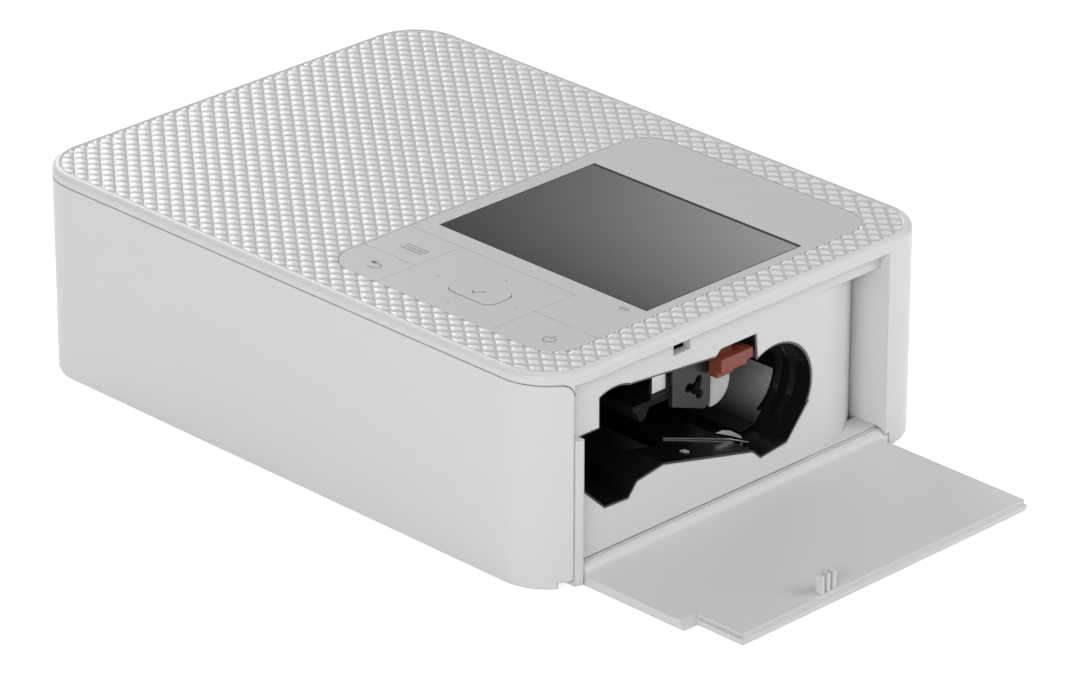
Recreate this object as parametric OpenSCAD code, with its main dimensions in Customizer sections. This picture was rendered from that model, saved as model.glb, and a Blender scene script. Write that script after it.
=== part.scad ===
// Compact photo printer: white case with a hinged front cover and a hinged ink compartment cover,
// control panel, dye-transfer print mechanism and electronics. Millimetres, +Z up.
// Case coordinates run from the left end (X), the front face (Y) and the underside of the case (Z);
// at_case() moves them so that the origin is under the middle of the machine with the side cover open.

/* [Case] */
// Width of the case
case_w = 182.2; // [181:0.1:188]
// Depth of the case, front to back
case_d = 133; // [132:0.1:140]
// Height of the case without its feet
case_h = 55.6; // [55:0.1:60]
// Radius of the case corners seen from above
corner_r = 14.5; // [12:0.1:16]
// Rounding of the top edge
top_round = 1.6; // [0.8:0.1:1.9]
// Depth of the recessed field on top that carries the diamond texture
texture_depth = 0.4; // [0.3:0.1:0.9]
// Smooth rim round the diamond texture
texture_rim = 1.9; // [1.6:0.1:4]
// Rounding of the bottom edge
bottom_round = 0.8; // [0.4:0.1:1.2]
// Wall thickness of the case
wall = 2.2; // [1.9:0.1:2.5]
// Thickness of the base floor
base_t = 2; // [1.6:0.1:2.2]
// Height of the rubber feet below the case
foot_h = 2; // [1.8:0.1:3]
// Radius of the rubber feet
foot_r = 5; // [4:0.1:6]
// Distance of the feet from the case edges
foot_inset = 20; // [19:0.5:24]
// Radius of the screw columns
column_r = 3; // [2.6:0.1:3.4]

/* [Front cover] */
// Depth of the front cover's side cheeks
cheek_d = 9.6; // [9:0.1:10.4]
// Height of the case lip above the front cover
lip_h = 2.75; // [2.6:0.05:3.4]
// Gap round the front cover
seam_gap = 0.25; // [0.15:0.05:0.4]
// Thickness of the front cover
front_cover_t = 2.2; // [1.8:0.1:2.2]
// Rounded upper corner of the cheeks
cheek_corner_r = 3.1; // [2.5:0.1:5]
// Distance of the front cover's hinge axis from the front face
front_axis_y = 4; // [4:0.1:4.3]
// Height of the front cover's hinge axis
front_axis_z = 2.8; // [2.7:0.1:3]
// Radius of the front cover's hinge pins
front_pin_r = 0.9; // [0.7:0.05:1]
// Width of the paper cassette slot and the paper exit
paper_slot_w = 108; // [104:0.5:108]
// Top of the paper cassette slot
paper_slot_top = 13.8; // [12:0.1:14]

/* [Ink compartment cover] */
// Depth of the recess that takes the cover
recess_depth = 3; // [2.8:0.1:3.4]
// Thickness of the cover at its rim
ink_cover_t = 2.5; // [2.2:0.1:2.6]
// Thickness of the cover's outer skin
ink_skin_t = 1.4; // [1:0.1:1.8]
// Radius of the cover's hinge bar
bar_r = 2.4; // [2.2:0.1:2.5]
// Radius of the cover's hinge pins
ink_pin_r = 1.2; // [1:0.05:1.4]
// Height of the recess above the underside, on a case of the standard height
recess_top = 52.2; // [51:0.1:52.6]
// Gap over the closed cover
ink_cover_top_gap = 1.2; // [0.6:0.1:2]
// Front edge of the recess, from the front face
recess_front = 12.2; // [12:0.1:13]
// Depth of the back corner pillar
pillar_d = 17; // [17:0.1:19]
// Gap round the cover
cover_gap = 0.4; // [0.3:0.05:0.6]
// Length of the finger notch in the cover
notch_len = 14.4; // [10:0.1:18]
// Depth of the finger notch in the cover
notch_d = 4.5; // [3:0.1:6]
// Height of the latch prongs on the cover
latch_h = 4.8; // [3.6:0.1:5]
// Width of the latch prongs together
latch_w = 5; // [4:0.1:5.4]

/* [Ink cassette mouth] */
// Radius of the supply spool lobe
supply_lobe_r = 12.6; // [12:0.1:13]
// Radius of the take-up spool lobe
take_up_lobe_r = 12.5; // [12:0.1:12.8]
// Thickness of the inner side frame
side_frame_t = 2.5; // [2:0.1:2.8]
// Thickness of the compartment liner
liner_t = 1.2; // [0.9:0.1:1.3]
// Depth of the finger scoop at its back end
scoop_depth = 9.2; // [6:0.1:10]
// Length of the finger scoop
scoop_len = 24; // [18:0.5:25]
// Upward travel of the cassette release lever
lever_travel = 2.2; // [1:0.1:2.4]

/* [Control panel] */
// Width of the control panel
panel_w = 77.5; // [74:0.5:80]
// Depth of the control panel, on a case of the standard depth
panel_d = 110; // [106:0.5:111]
// Corner radius of the control panel
panel_r = 8.5; // [6:0.1:10]
// Distance of the panel from the right end of the case
panel_right = 10.2; // [9:0.1:12]
// Distance of the panel from the front face
panel_front = 12; // [11.5:0.1:13]
// How far the panel lies below the top surface
panel_drop = 0.25; // [0.1:0.05:0.5]
// Thickness of the panel and the key caps
panel_t = 1.5; // [1.2:0.1:1.6]
// Width of the screen window
screen_w = 70; // [64:0.5:71]
// Depth of the screen window
screen_d = 53.3; // [48:0.1:56]
// Distance of the window from the panel's front edge
screen_front = 33.7; // [32:0.1:36]
// Depth of the key row
key_row_d = 28.4; // [27:0.1:30]
// Width of the menu and back keys
side_key_w = 18; // [15:0.1:20]
// Width of the power key
power_key_w = 21.2; // [18:0.1:23]
// Depth of the power key
power_key_d = 15; // [12:0.1:18]
// Width of the centre key
ok_w = 15; // [12:0.1:17]
// Depth of the centre key
ok_d = 9; // [7:0.1:11]
// Gap between keys
key_gap = 0.2; // [0.15:0.05:0.3]
// Travel of the keys
key_travel = 0.3; // [0.2:0.05:0.35]

/* [Print mechanism] */
// Radius of all roller and spindle shafts
shaft_r = 2; // [1.6:0.1:2.2]
// Outer radius of the shaft bushes
bush_r = 3.5; // [3:0.1:3.8]
// Running clearance of shafts and pins
run_clear = 0.05; // [0.03:0.01:0.08]
// Radius of the platen roller
platen_r = 6.2; // [5.8:0.1:6.3]
// Radius of the grip roller
grip_r = 3.5; // [3:0.1:3.7]
// Radius of the pinch roller
pinch_r = 3.3; // [3:0.1:3.4]
// Radius of the pickup roller
pickup_r = 3.6; // [3.2:0.1:3.7]
// Thickness of the sheet steel plates
plate_t = 1.5; // [1.2:0.1:1.6]
// Gear module
gear_module = 0.6; // [0.5:0.02:0.62]
// Teeth of the motor pinions
pinion_teeth = 12; // [12:1:13]
// Teeth of the grip roller gear
grip_teeth = 30; // [26:1:31]
// Teeth of the take-up spindle gear
take_up_teeth = 40; // [34:1:40]
// Face width of the gears
gear_w = 3.5; // [3:0.1:4]
// Swing of the print head down to the platen roller, degrees
head_swing = 8; // [4:0.5:8]

/* [Hidden] */
$fn = 64;
cut = 1;                                   // how far a cut runs past a face
fit = 0.1;                                 // gap between fixed pieces that sit in each other
standard_d = 133;                          // case depth that the mechanism's places are given for
standard_h = 55.6;                         // case height that they are given for

// Places and outlines of the mechanism in the YZ plane, moved with the case's depth and height
function at_y(y) = y * case_d / standard_d;
function at_z(z) = z * case_h / standard_h;
function side_view(points) = [for (p = points) [at_y(p[0]), at_z(p[1])]];
function floor_view(points) = [for (p = points) [at_y(p[0]), p[1]]];

// Case
floor_top = base_t + 0.4;                  // the base floor sits slightly inside the walls
base_lift = floor_top - base_t;
top_plate_z = case_h - wall;
cover_top_z = case_h - lip_h - seam_gap;
seam_y = cheek_d + seam_gap;
recess_x = case_w - recess_depth;
pillar_y = case_d - pillar_d;
recess_z = at_z(recess_top);
ledge_t = 1.4;
ledge_lap = 2;                             // how far the ledge reaches under the panel

// Ink cover hinge: the closed cover's skin lies flush with the case
ink_axis_x = case_w - bar_r;
ink_axis_z = bar_r;
ink_cover_len = recess_z - ink_cover_top_gap - ink_axis_z;
ink_reach = ink_axis_x + ink_cover_len;
ink_y0 = recess_front + cover_gap;
ink_y1 = pillar_y - cover_gap;
channel_gap = 0.3;
channel_top = 2 * bar_r + channel_gap;
bar_end = 1.3;                             // how far the bar runs into the pillar
return_t = 4;                              // thickness of the pillar's inner return wall
scoop_wall_t = 2;
scoop_floor_t = 1.4;
frame_band = 4.6;                          // height of the frame above the mouth and the scoop

// Mouth of the ink compartment, in the YZ plane
supply_y = at_y(79.6);
supply_z = at_z(26);
take_up_y = at_y(26);
take_up_z = at_z(31);
take_up_lobe_y = at_y(25.3);
lobe_drop = 9.8;                           // from the case's top down to the take-up lobe
take_up_lobe_z = case_h - lobe_drop - take_up_lobe_r;
mouth_front = recess_front + 1.2;
mouth_lip_t = 0.5;                         // the liner's lip, which lines the frame's opening
frame_in_x = recess_x - side_frame_t;
scoop_x = recess_x - scoop_depth - scoop_wall_t;   // innermost point of the scoop's wall
latch_y0 = at_y(44.4);
latch_hole_w = latch_w + 0.7;
latch_prong_len = 2;
latch_z = recess_z - 4.5;
lever_y0 = at_y(60.9);
lever_y1 = lever_y0 + 10.7;
lever_z0 = at_z(37.4);
lever_z1 = lever_z0 + 3.6;

// Chassis
left_x = 54.5;                             // outer face of the left plate
bay_x = left_x + plate_t;
right_x = recess_x - 7.1;                  // outer face of the right plate
right_in_x = right_x - plate_t;
gear_x = left_x - 5.4;                     // left face of the gears
gear_plate_x = gear_x - 2.8;
chassis_top = case_h - 7.1;

// Rollers, in the YZ plane
platen_y = at_y(47);
platen_z = floor_top + 9.8;
grip_y = at_y(99);
grip_z = floor_top + 12.1;
nip_gap = 0.35;
pinch_z = grip_z - grip_r - nip_gap - pinch_r;
pickup_y = platen_y - platen_r - pickup_r - 0.6;
pickup_z = floor_top + 11;
roller_margin = 5.5;
guide_x1 = scoop_x - 1;
paper_exit_z0 = 8;
paper_exit_z1 = 13.6;

// Print head
head_axis_y = at_y(94);
head_axis_z = at_z(43);
head_low_z = platen_z + platen_r + (head_axis_y - platen_y) * tan(head_swing) + 0.6;
sink_z = head_low_z + 4.4;
sink_top = at_z(37.6);
head_x0 = bay_x + 1.6;
head_x1 = recess_x - 4.8;
cheek_t = 1.4;

// Gears
pinion_r = gear_module * pinion_teeth / 2;
grip_gear_r = gear_module * grip_teeth / 2;
take_up_gear_r = gear_module * take_up_teeth / 2;
feed_angle = 135;
ribbon_angle = -60;
feed_y = grip_y + (grip_gear_r + pinion_r) * cos(feed_angle);
feed_z = grip_z + (grip_gear_r + pinion_r) * sin(feed_angle);
ribbon_y = take_up_y + (take_up_gear_r + pinion_r) * cos(ribbon_angle);
ribbon_z = take_up_z + (take_up_gear_r + pinion_r) * sin(ribbon_angle);
feed_can_r = 12;
ribbon_can_r = 7.5;
motor_shaft_r = 1;

// Control panel
panel_x0 = case_w - panel_right - panel_w;
panel_x1 = case_w - panel_right;
panel_len = at_y(panel_d);
panel_y1 = panel_front + panel_len;
panel_top = case_h - panel_drop;
panel_under = panel_top - panel_t;
panel_fit = 0.15;
carrier_z = panel_under - 1.3;
carrier_t = 0.8;
ledge_z = carrier_z - carrier_t - ledge_t;
key_row_y1 = panel_front + key_row_d;
pad_x0 = panel_x0 + side_key_w;
pad_x1 = panel_x1 - power_key_w;
ok_x = (pad_x0 + pad_x1) / 2 + 2.3;
ok_y = panel_front + 13.5;
window_x0 = (panel_x0 + panel_x1) / 2 + 0.8 - screen_w / 2;
lcd_t = 3;
lcd_rim = 0.8;
carrier_wall = [1.9, 2.9];                 // the carrier's back wall, from the key row
window_y0 = max(panel_front + screen_front, key_row_y1 + carrier_wall[1] + fit + lcd_rim);
board_t = 1.2;
board_top = carrier_z - carrier_t - 1.6;
switch_h = 1.5;
stem_end = board_top + switch_h + key_travel + fit;
lug_r = front_axis_y - front_cover_t - 0.15;
lug_w = 3;
hinge_inset = 12.7;                        // front cover hinges, from the ends of the case
ring_r = 3.6;                              // gimbal ring of the direction pad
gimbal_pin_r = 0.3;
pad_axis_z = carrier_z + 0.05;
lug_y = ok_d / 2 + key_gap + 0.1;          // the pad's pivot lugs stand just outside the centre key
gimbal_hole_r = lug_y + 1.6;
status_x = panel_x1 - 7.5;
status_y = key_row_y1 + 0.9;
screw_r = 1.1;
board_screw_r = 0.85;

// Electronics
main_board_z = case_h - 11.6;
main_board_x0 = 6;
main_board_x1 = left_x - 2.5;
main_board_y0 = at_y(42);
main_board_y1 = case_d - 17;
card_y = main_board_y0 + 16;
usb_y = main_board_y1 - 20.7;
power_board_z = floor_top + 3;
jack_x = 20.5;
jack_z = power_board_z + board_t + 4.6;

COLUMNS = [[9.5, 24], [9.5, case_d - 11], [case_w - 9.5, case_d - 9]];
BOARD_POSTS = [for (x = [10, 47], y = [main_board_y0 + 5, main_board_y1 - 5]) [x, y]];
FEET = [[foot_inset, foot_inset], [foot_inset, case_d - foot_inset],
  [case_w - foot_inset, foot_inset], [case_w - foot_inset, case_d - foot_inset]];
SHAFTS = [[platen_y, platen_z], [grip_y, grip_z], [pickup_y, pickup_z]];
SPINDLES = [[take_up_y, take_up_z], [supply_y, supply_z]];
GEAR_POSTS = side_view([[18, 8], [60, 38.5], [70, 8], [110, 34]]);

// Helpers -----------------------------------------------------------------------------------------

module at_case() translate([-ink_reach / 2, -case_d / 2, foot_h]) children();

module along_x(x0, len) translate([x0, 0, 0]) rotate([90, 0, 90]) linear_extrude(len) children();

module rod_x(x0, x1, y, z, r) translate([x0, y, z]) rotate([0, 90, 0]) cylinder(r = r, h = x1 - x0);

module rod_y(y0, y1, x, z, r) translate([x, y0, z]) rotate([-90, 0, 0]) cylinder(r = r, h = y1 - y0);

module box(x, y, z) translate([x[0], y[0], z[0]]) cube([x[1] - x[0], y[1] - y[0], z[1] - z[0]]);

module quarter(f) intersection() {
  circle(r = f);
  square(f);
}

module rounded_rect(w, d, r) union() {
  translate([r, 0]) square([w - 2 * r, d]);
  translate([0, r]) square([w, d - 2 * r]);
  for (x = [r, w - r], y = [r, d - r]) translate([x, y]) circle(r = r);
}

// A plate of height f whose outer edge is rounded upwards by f
module rim(w, d, r, f) {
  translate([f, f, 0]) linear_extrude(f) rounded_rect(w - 2 * f, d - 2 * f, r - f);
  for (k = [0, 1]) translate([w / 2, d / 2, 0]) rotate([0, 0, 180 * k])
    translate([-w / 2, -d / 2, 0]) {
      translate([r, f, 0]) rotate([90, 0, 90]) linear_extrude(w - 2 * r) mirror([1, 0]) quarter(f);
      translate([f, r, 0]) mirror([0, 1, 0]) rotate([90, 0, 0]) linear_extrude(d - 2 * r)
        mirror([1, 0]) quarter(f);
    }
  for (x = [0, 1], y = [0, 1]) translate([x ? w - r : r, y ? d - r : r, 0])
    rotate([0, 0, x ? (y ? 0 : -90) : (y ? 90 : 180)])
      rotate_extrude(angle = 90) translate([r - f, 0]) quarter(f);
}

// The whole outer form of the case
module case_block() {
  translate([0, 0, bottom_round])
    linear_extrude(case_h - top_round - bottom_round) rounded_rect(case_w, case_d, corner_r);
  translate([0, 0, case_h - top_round]) rim(case_w, case_d, corner_r, top_round);
  translate([0, 0, bottom_round]) mirror([0, 0, 1]) rim(case_w, case_d, corner_r, bottom_round);
}

module inset_plan(by) translate([by, by]) rounded_rect(case_w - 2 * by, case_d - 2 * by, corner_r - by);

// Outline of the opening that the ink cassette slides through, in the YZ plane
module mouth() union() {
  translate([supply_y, supply_z]) circle(r = supply_lobe_r);
  intersection() {
    translate([take_up_lobe_y, take_up_lobe_z]) circle(r = take_up_lobe_r);
    translate([at_y(20.3), at_z(30)]) square([20, 20]);
  }
  polygon(concat(
    [[mouth_front, at_z(36.9)], [mouth_front, at_z(24.4)]],
    side_view([[22.2, 16.2], [29.8, 15.9], [32.6, 19.3], [41.7, 20.7], [72.5, 13.4], [75.3, 10.9],
      [84.1, 11.9], [91, 20], [79.6, 26]]),
    [[lever_y1 + 1.4, lever_z0], [lever_y1 + 0.8, lever_z1 + 2.6], [lever_y0 - 0.2, lever_z1 + 2.6],
      [lever_y0 - 1.7, lever_z1 + 1.2]],
    side_view([[29.5, 44.9], [20.3, 40], [20.3, 36.9]])));
}

// The ring between the mouth's outline grown by one amount and by another
module mouth_ring(outer, inner) difference() {
  offset(delta = outer) mouth();
  offset(delta = inner) mouth();
}

// Half the angle that a tooth takes up at radius r, in degrees
function flank(teeth, r) =
  let (pitch = gear_module * teeth / 2, base = pitch * cos(20), a = acos(min(1, base / r)))
    90 / teeth * 0.94 + (tan(20) - tan(a)) * 180 / PI - 20 + a;

// A spur gear outline with involute flanks and shortened teeth, one tooth along +X
module gear_outline(teeth) {
  pitch = gear_module * teeth / 2;
  base = pitch * cos(20);
  root = pitch - 1.1 * gear_module;
  tip = pitch + 0.75 * gear_module;
  low = max(base, root);
  radii = [root, low, (low + pitch) / 2, pitch, (pitch + tip) / 2, tip];
  angles = [for (r = radii) flank(teeth, max(r, low))];
  polygon([for (k = [0 : teeth - 1]) each concat(
    [for (i = [0 : 5]) radii[i] * [cos(360 * k / teeth - angles[i]), sin(360 * k / teeth - angles[i])]],
    [for (i = [5 : -1 : 0])
      radii[i] * [cos(360 * k / teeth + angles[i]), sin(360 * k / teeth + angles[i])]])]);
}

// A gear across X at a shaft, turned so that a tooth or a gap points at the given angle
module gear_x_at(y, z, teeth, bore, turn) along_x(gear_x, gear_w) translate([y, z]) difference() {
  rotate(turn) gear_outline(teeth);
  circle(r = bore);
}

// A helical spring round +Z
module coil(r, wire, height, turns) {
  steps = 10;
  sides = 6;
  n = round(turns * steps);
  points = [for (i = [0 : n], k = [0 : sides - 1])
    let (a = 360 * i / steps, b = 360 * k / sides, reach = r + wire * cos(b))
      [reach * cos(a), reach * sin(a), wire + (height - 2 * wire) * i / n + wire * sin(b)]];
  sides_faces = [for (i = [0 : n - 1], k = [0 : sides - 1]) let (j = (k + 1) % sides)
    [i * sides + k, (i + 1) * sides + k, (i + 1) * sides + j, i * sides + j]];
  ends = [[for (k = [0 : sides - 1]) k], [for (k = [sides - 1 : -1 : 0]) n * sides + k]];
  polyhedron(points, concat(sides_faces, ends));
}

// Case --------------------------------------------------------------------------------------------

module upper_case() color("gainsboro") at_case() {
  difference() {
    case_block();
    translate([0, 0, -cut]) linear_extrude(top_plate_z + cut) inset_plan(wall);
    box([-cut, case_w + cut], [-cut, seam_y], [-cut, cover_top_z + seam_gap]);
    box([frame_in_x, case_w + cut], [seam_y - cut, pillar_y], [-cut, recess_z]);
    translate([0, 0, case_h - texture_depth]) linear_extrude(texture_depth + cut) inset_plan(texture_rim);
    hinge_seat();
    panel_hole();
    rear_openings();
    left_openings();
  }
  pillar_return();
  corner_fills();
  panel_ledge();
  for (p = COLUMNS) column(p);
  for (p = BOARD_POSTS) translate([p[0], p[1], main_board_z + board_t]) difference() {
    cylinder(r = column_r, h = top_plate_z - main_board_z - board_t);
    translate([0, 0, -cut]) cylinder(r = board_screw_r + run_clear, h = 6 + cut);
  }
}

// Rounds the upper corners of the front opening round the front cover's cheeks
module corner_fills() intersection() {
  reach = cheek_corner_r + seam_gap;
  for (x = [0, case_w - corner_r])
    along_x(x, corner_r) translate([cheek_d - cheek_corner_r, cover_top_z - cheek_corner_r]) difference() {
      square([reach, reach + 0.3]);
      circle(r = reach);
    }
  difference() {
    case_block();
    translate([0, 0, -cut]) linear_extrude(case_h) inset_plan(wall);
  }
}

module panel_hole() translate([panel_x0 - panel_fit, panel_front - panel_fit, top_plate_z - cut])
  linear_extrude(wall + 2 * cut)
    rounded_rect(panel_w + 2 * panel_fit, panel_len + 2 * panel_fit, panel_r + panel_fit);

// The ledge under the panel's edge
module panel_ledge() {
  rise = top_plate_z - ledge_z;
  lap = ledge_lap;
  translate([panel_x0, panel_front, ledge_z]) difference() {
    translate([-lap, -lap, 0]) linear_extrude(rise)
      rounded_rect(panel_w + 2 * lap, panel_len + 2 * lap, panel_r + lap);
    translate([lap, lap, -cut]) linear_extrude(rise + 2 * cut)
      rounded_rect(panel_w - 2 * lap, panel_len - 2 * lap, panel_r - lap);
    translate([-panel_fit, -panel_fit, ledge_t]) linear_extrude(rise)
      rounded_rect(panel_w + 2 * panel_fit, panel_len + 2 * panel_fit, panel_r + panel_fit);
  }
}

module column(p) translate([p[0], p[1], floor_top]) difference() {
  cylinder(r = column_r, h = top_plate_z - floor_top);
  translate([0, 0, -cut]) cylinder(r = screw_r + run_clear, h = 12 + cut);
}

// The inner wall of the back corner pillar
module pillar_return() difference() {
  box([scoop_x, case_w - wall / 2], [pillar_y, pillar_y + return_t], [bottom_round, top_plate_z]);
  hinge_seat();
}

// The seat of the ink cover's hinge bar and its pin in the pillar
module hinge_seat() {
  rod_y(pillar_y - cut, pillar_y + bar_end + 0.3, ink_axis_x, ink_axis_z, bar_r + channel_gap);
  rod_y(pillar_y - cut, pillar_y + return_t + fit, ink_axis_x, ink_axis_z, ink_pin_r + run_clear);
}

// Paper slot, vents and the power inlet in the back wall
module rear_openings() {
  slot_x0 = bay_x + 2;
  box([slot_x0, slot_x0 + paper_slot_w], [case_d - wall - cut, case_d + cut],
    [paper_exit_z0, paper_exit_z1]);
  for (k = [0 : 13])
    box([78 + 6 * k, 80.4 + 6 * k], [case_d - wall - cut, case_d + cut], [at_z(24), at_z(38)]);
  rod_y(case_d - wall - cut, case_d + cut, jack_x, jack_z, 4.2);
}

// Card slot and USB port in the left wall
module left_openings() {
  box([-cut, wall + cut], [card_y, card_y + 25], [main_board_z - 2.9, main_board_z - 0.3]);
  box([-cut, wall + cut], [usb_y, usb_y + 9.4], [main_board_z - 3.5, main_board_z - 0.1]);
}

module base_shell() color("gainsboro") at_case() {
  edge = wall + 0.15;
  rib_x1 = frame_in_x + 0.2;
  difference() {
    union() {
      translate([0, 0, base_lift]) linear_extrude(base_t) difference() {
        inset_plan(edge);
        translate([-cut, -cut]) square([case_w + 2 * cut, seam_y + cut]);
        translate([rib_x1, -cut]) square([case_w, pillar_y + cut]);
        translate([scoop_x - fit, pillar_y - fit]) square([case_w, return_t + 2 * fit]);
      }
      box([rib_x1 - 2, rib_x1], [seam_y + 3, pillar_y - scoop_len - 2],
        [base_lift, channel_top - fit]);
      for (x = hinge_xs()) lug(x);
    }
    for (p = FEET) translate([p[0], p[1], -cut]) cylinder(r = foot_r + fit, h = cut + base_lift + 0.4);
    for (p = COLUMNS) translate([p[0], p[1], -cut]) {
      cylinder(r = 1.4, h = floor_top + 2 * cut);
      cylinder(r = 2.7, h = cut + base_lift + 1);
    }
    for (p = base_screws()) translate([p[0], p[1], -cut]) cylinder(r = 1.25, h = floor_top + 2 * cut);
  }
  for (y = [case_d - 33, case_d - 15]) translate([jack_x, y, floor_top]) cylinder(r = 2, h = 3);
}

// Screws that hold the chassis flanges to the base
function base_screws() = [for (y = [at_y(58), at_y(90)]) each [[left_x - 4, y], [right_in_x - 4, y]]];

function hinge_xs() = [hinge_inset, case_w - hinge_inset];

// One hinge lug of the base, beside the front cover's knuckle
module lug(x) {
  side = x < case_w / 2 ? 1 : -1;
  x0 = side > 0 ? x + fit : x - fit - lug_w;
  difference() {
    union() {
      rod_x(x0, x0 + lug_w, front_axis_y, front_axis_z, lug_r);
      box([x0, x0 + lug_w], [front_axis_y, seam_y - fit], [floor_top - 0.6, front_axis_z + lug_r]);
      box([x0, x0 + lug_w], [front_axis_y, seam_y + 2], [front_axis_z - lug_r, floor_top]);
    }
    rod_x(x0 - cut, x0 + lug_w + cut, front_axis_y, front_axis_z, front_pin_r + run_clear);
  }
}

module front_frame() color("whitesmoke") at_case() difference() {
  intersection() {
    box([0, frame_in_x - fit], [seam_y, seam_y + 2], [floor_top + fit, top_plate_z]);
    linear_extrude(case_h) inset_plan(wall + fit);
  }
  box([panel_x0 - ledge_lap - fit, case_w], [seam_y - cut, seam_y + 2 + cut], [ledge_z - fit, case_h]);
  slot_x0 = bay_x + 2;
  box([slot_x0, slot_x0 + paper_slot_w], [seam_y - cut, seam_y + 2 + cut], [floor_top + 0.5, paper_slot_top]);
}

// The white frame round the ink compartment's mouth, with the jamb strip and the finger scoop
module side_frame() color("gainsboro") at_case() {
  scoop_y = pillar_y - scoop_len;
  scoop_r = (scoop_len * scoop_len + scoop_depth * scoop_depth) / (2 * scoop_depth);
  front_y = seam_y + 2.1;
  jamb_z = at_z(38);
  difference() {
    union() {
      box([frame_in_x, recess_x], [front_y, scoop_y], [channel_top, recess_z - fit]);
      box([frame_in_x, recess_x - 0.4], [front_y, pillar_y - fit], [recess_z - frame_band, top_plate_z]);
      box([frame_in_x, recess_x], [scoop_y, pillar_y - fit], [recess_z - frame_band, recess_z - fit]);
      scoop_wall(scoop_y, scoop_r);
      box([right_x + 0.3, recess_x], [scoop_y - 1, pillar_y - fit],
        [channel_top - scoop_floor_t, channel_top + 0.2]);
      intersection() {
        box([frame_in_x + 0.4, case_w], [seam_y, recess_front], [base_lift, jamb_z]);
        linear_extrude(case_h) inset_plan(0);
      }
    }
    along_x(frame_in_x - cut, side_frame_t + recess_depth) difference() {
      offset(delta = mouth_lip_t + fit / 2) mouth();
      square([recess_front, case_h]);
    }
    box([frame_in_x - cut, recess_x + cut], [latch_y0, latch_y0 + latch_hole_w],
      [latch_z - 0.1, latch_z + 2.9]);
    rod_y(recess_front, pillar_y, ink_axis_x, ink_axis_z, bar_r + channel_gap);
    rod_y(seam_y - cut, recess_front + cut, ink_axis_x, ink_axis_z, ink_pin_r + run_clear);
  }
  intersection() {
    box([frame_in_x, recess_x], [seam_y, front_y], [jamb_z, recess_z - fit]);
    linear_extrude(case_h) inset_plan(wall + fit);
  }
  for (y = [lever_y0 + 0.9, lever_y1 - 2.7])
    box([frame_in_x - 2, frame_in_x], [y - 0.9, y], [lever_z1 + 3, latch_z + 1]);
  box([frame_in_x - 2, frame_in_x], [lever_y0, lever_y1 - 2.7], [latch_z + 1, latch_z + 2]);
}

// The scoop's curved wall and its cap, behind the cover's back edge
module scoop_wall(y0, r) {
  low = channel_top;
  top = recess_z - frame_band;
  span = pillar_y - fit - y0;
  difference() {
    intersection() {
      translate([recess_x - r, y0, low]) cylinder(r = r, h = top - low, $fn = 128);
      box([scoop_x, recess_x], [y0, y0 + span], [low, top]);
    }
    translate([recess_x - r, y0, low - cut])
      cylinder(r = r - scoop_wall_t, h = top - low + 2 * cut, $fn = 128);
  }
  difference() {
    box([scoop_x, frame_in_x], [y0, y0 + span], [top, top + 1.6]);
    translate([recess_x - r, y0, top - cut]) cylinder(r = r - scoop_wall_t, h = 3 + cut, $fn = 128);
  }
}

// Drop-down front cover: front wall, two curved cheeks, bottom lip, hinge knuckles and pins
module front_cover() color("whitesmoke") at_case() {
  bottom = 0.4;
  difference() {
    intersection() {
      case_block();
      box([0, case_w], [0, cheek_d], [bottom, cover_top_z]);
    }
    translate([0, 0, bottom + 1.6]) linear_extrude(case_h) inset_plan(front_cover_t);
    box([0, case_w], [front_axis_y + 2.2, cheek_d + cut], [-cut, bottom + 1.6]);
    for (x = [-cut, case_w - corner_r]) cheek_trim(x);
    for (x = hinge_xs()) box([x - 3.4, x + 3.4], [front_cover_t, cheek_d], [-cut, bottom + 1.7]);
  }
  for (x = hinge_xs()) knuckle(x);
}

// Rounds the cheeks' back corners: the upper one for looks, the lower one to clear the case
module cheek_trim(x) {
  len = corner_r + cut;
  along_x(x, len) difference() {
    translate([cheek_d - cheek_corner_r, cover_top_z - cheek_corner_r])
      square([cheek_corner_r + cut, cheek_corner_r + cut]);
    translate([cheek_d - cheek_corner_r, cover_top_z - cheek_corner_r]) circle(r = cheek_corner_r);
  }
  along_x(x, len) difference() {
    translate([front_axis_y, front_axis_z - 4]) square([cheek_d, 4]);
    translate([front_axis_y, front_axis_z]) circle(r = cheek_d - front_axis_y);
  }
}

module knuckle(x) {
  side = x < case_w / 2 ? 1 : -1;
  x0 = side > 0 ? x - 3 : x;
  pin_x0 = side > 0 ? x : x - fit - lug_w;
  rod_x(x0, x0 + 3, front_axis_y, front_axis_z, lug_r);
  box([x0, x0 + 3], [front_cover_t - 0.5, front_axis_y], [front_axis_z - lug_r, front_axis_z + lug_r]);
  rod_x(pin_x0, pin_x0 + lug_w + fit, front_axis_y, front_axis_z, front_pin_r);
}

// Ink compartment cover, lying open: outer skin, raised inner plate, hinge bar, pins and latch
module ink_cover() color("gainsboro") at_case() {
  step = 0.9;
  notch_x = ink_reach - notch_len;
  difference() {
    union() {
      box([ink_axis_x, ink_reach], [ink_y0, ink_y1], [0, ink_skin_t]);
      box([ink_axis_x, ink_reach - step], [ink_y0, ink_y1], [ink_skin_t, ink_cover_t]);
      rod_y(ink_y0, pillar_y + bar_end, ink_axis_x, ink_axis_z, bar_r);
    }
    box([notch_x, ink_reach + cut], [ink_y0 - cut, ink_y0 + notch_d], [-cut, ink_cover_t + cut]);
    box([notch_x - step, ink_reach + cut], [ink_y0 - cut, ink_y0 + notch_d + step],
      [ink_skin_t, ink_cover_t + cut]);
  }
  rod_y(ink_y0 - cover_gap - 1.2, ink_y0, ink_axis_x, ink_axis_z, ink_pin_r);
  rod_y(pillar_y + bar_end, pillar_y + return_t, ink_axis_x, ink_axis_z, ink_pin_r);
  latch();
}

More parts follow.
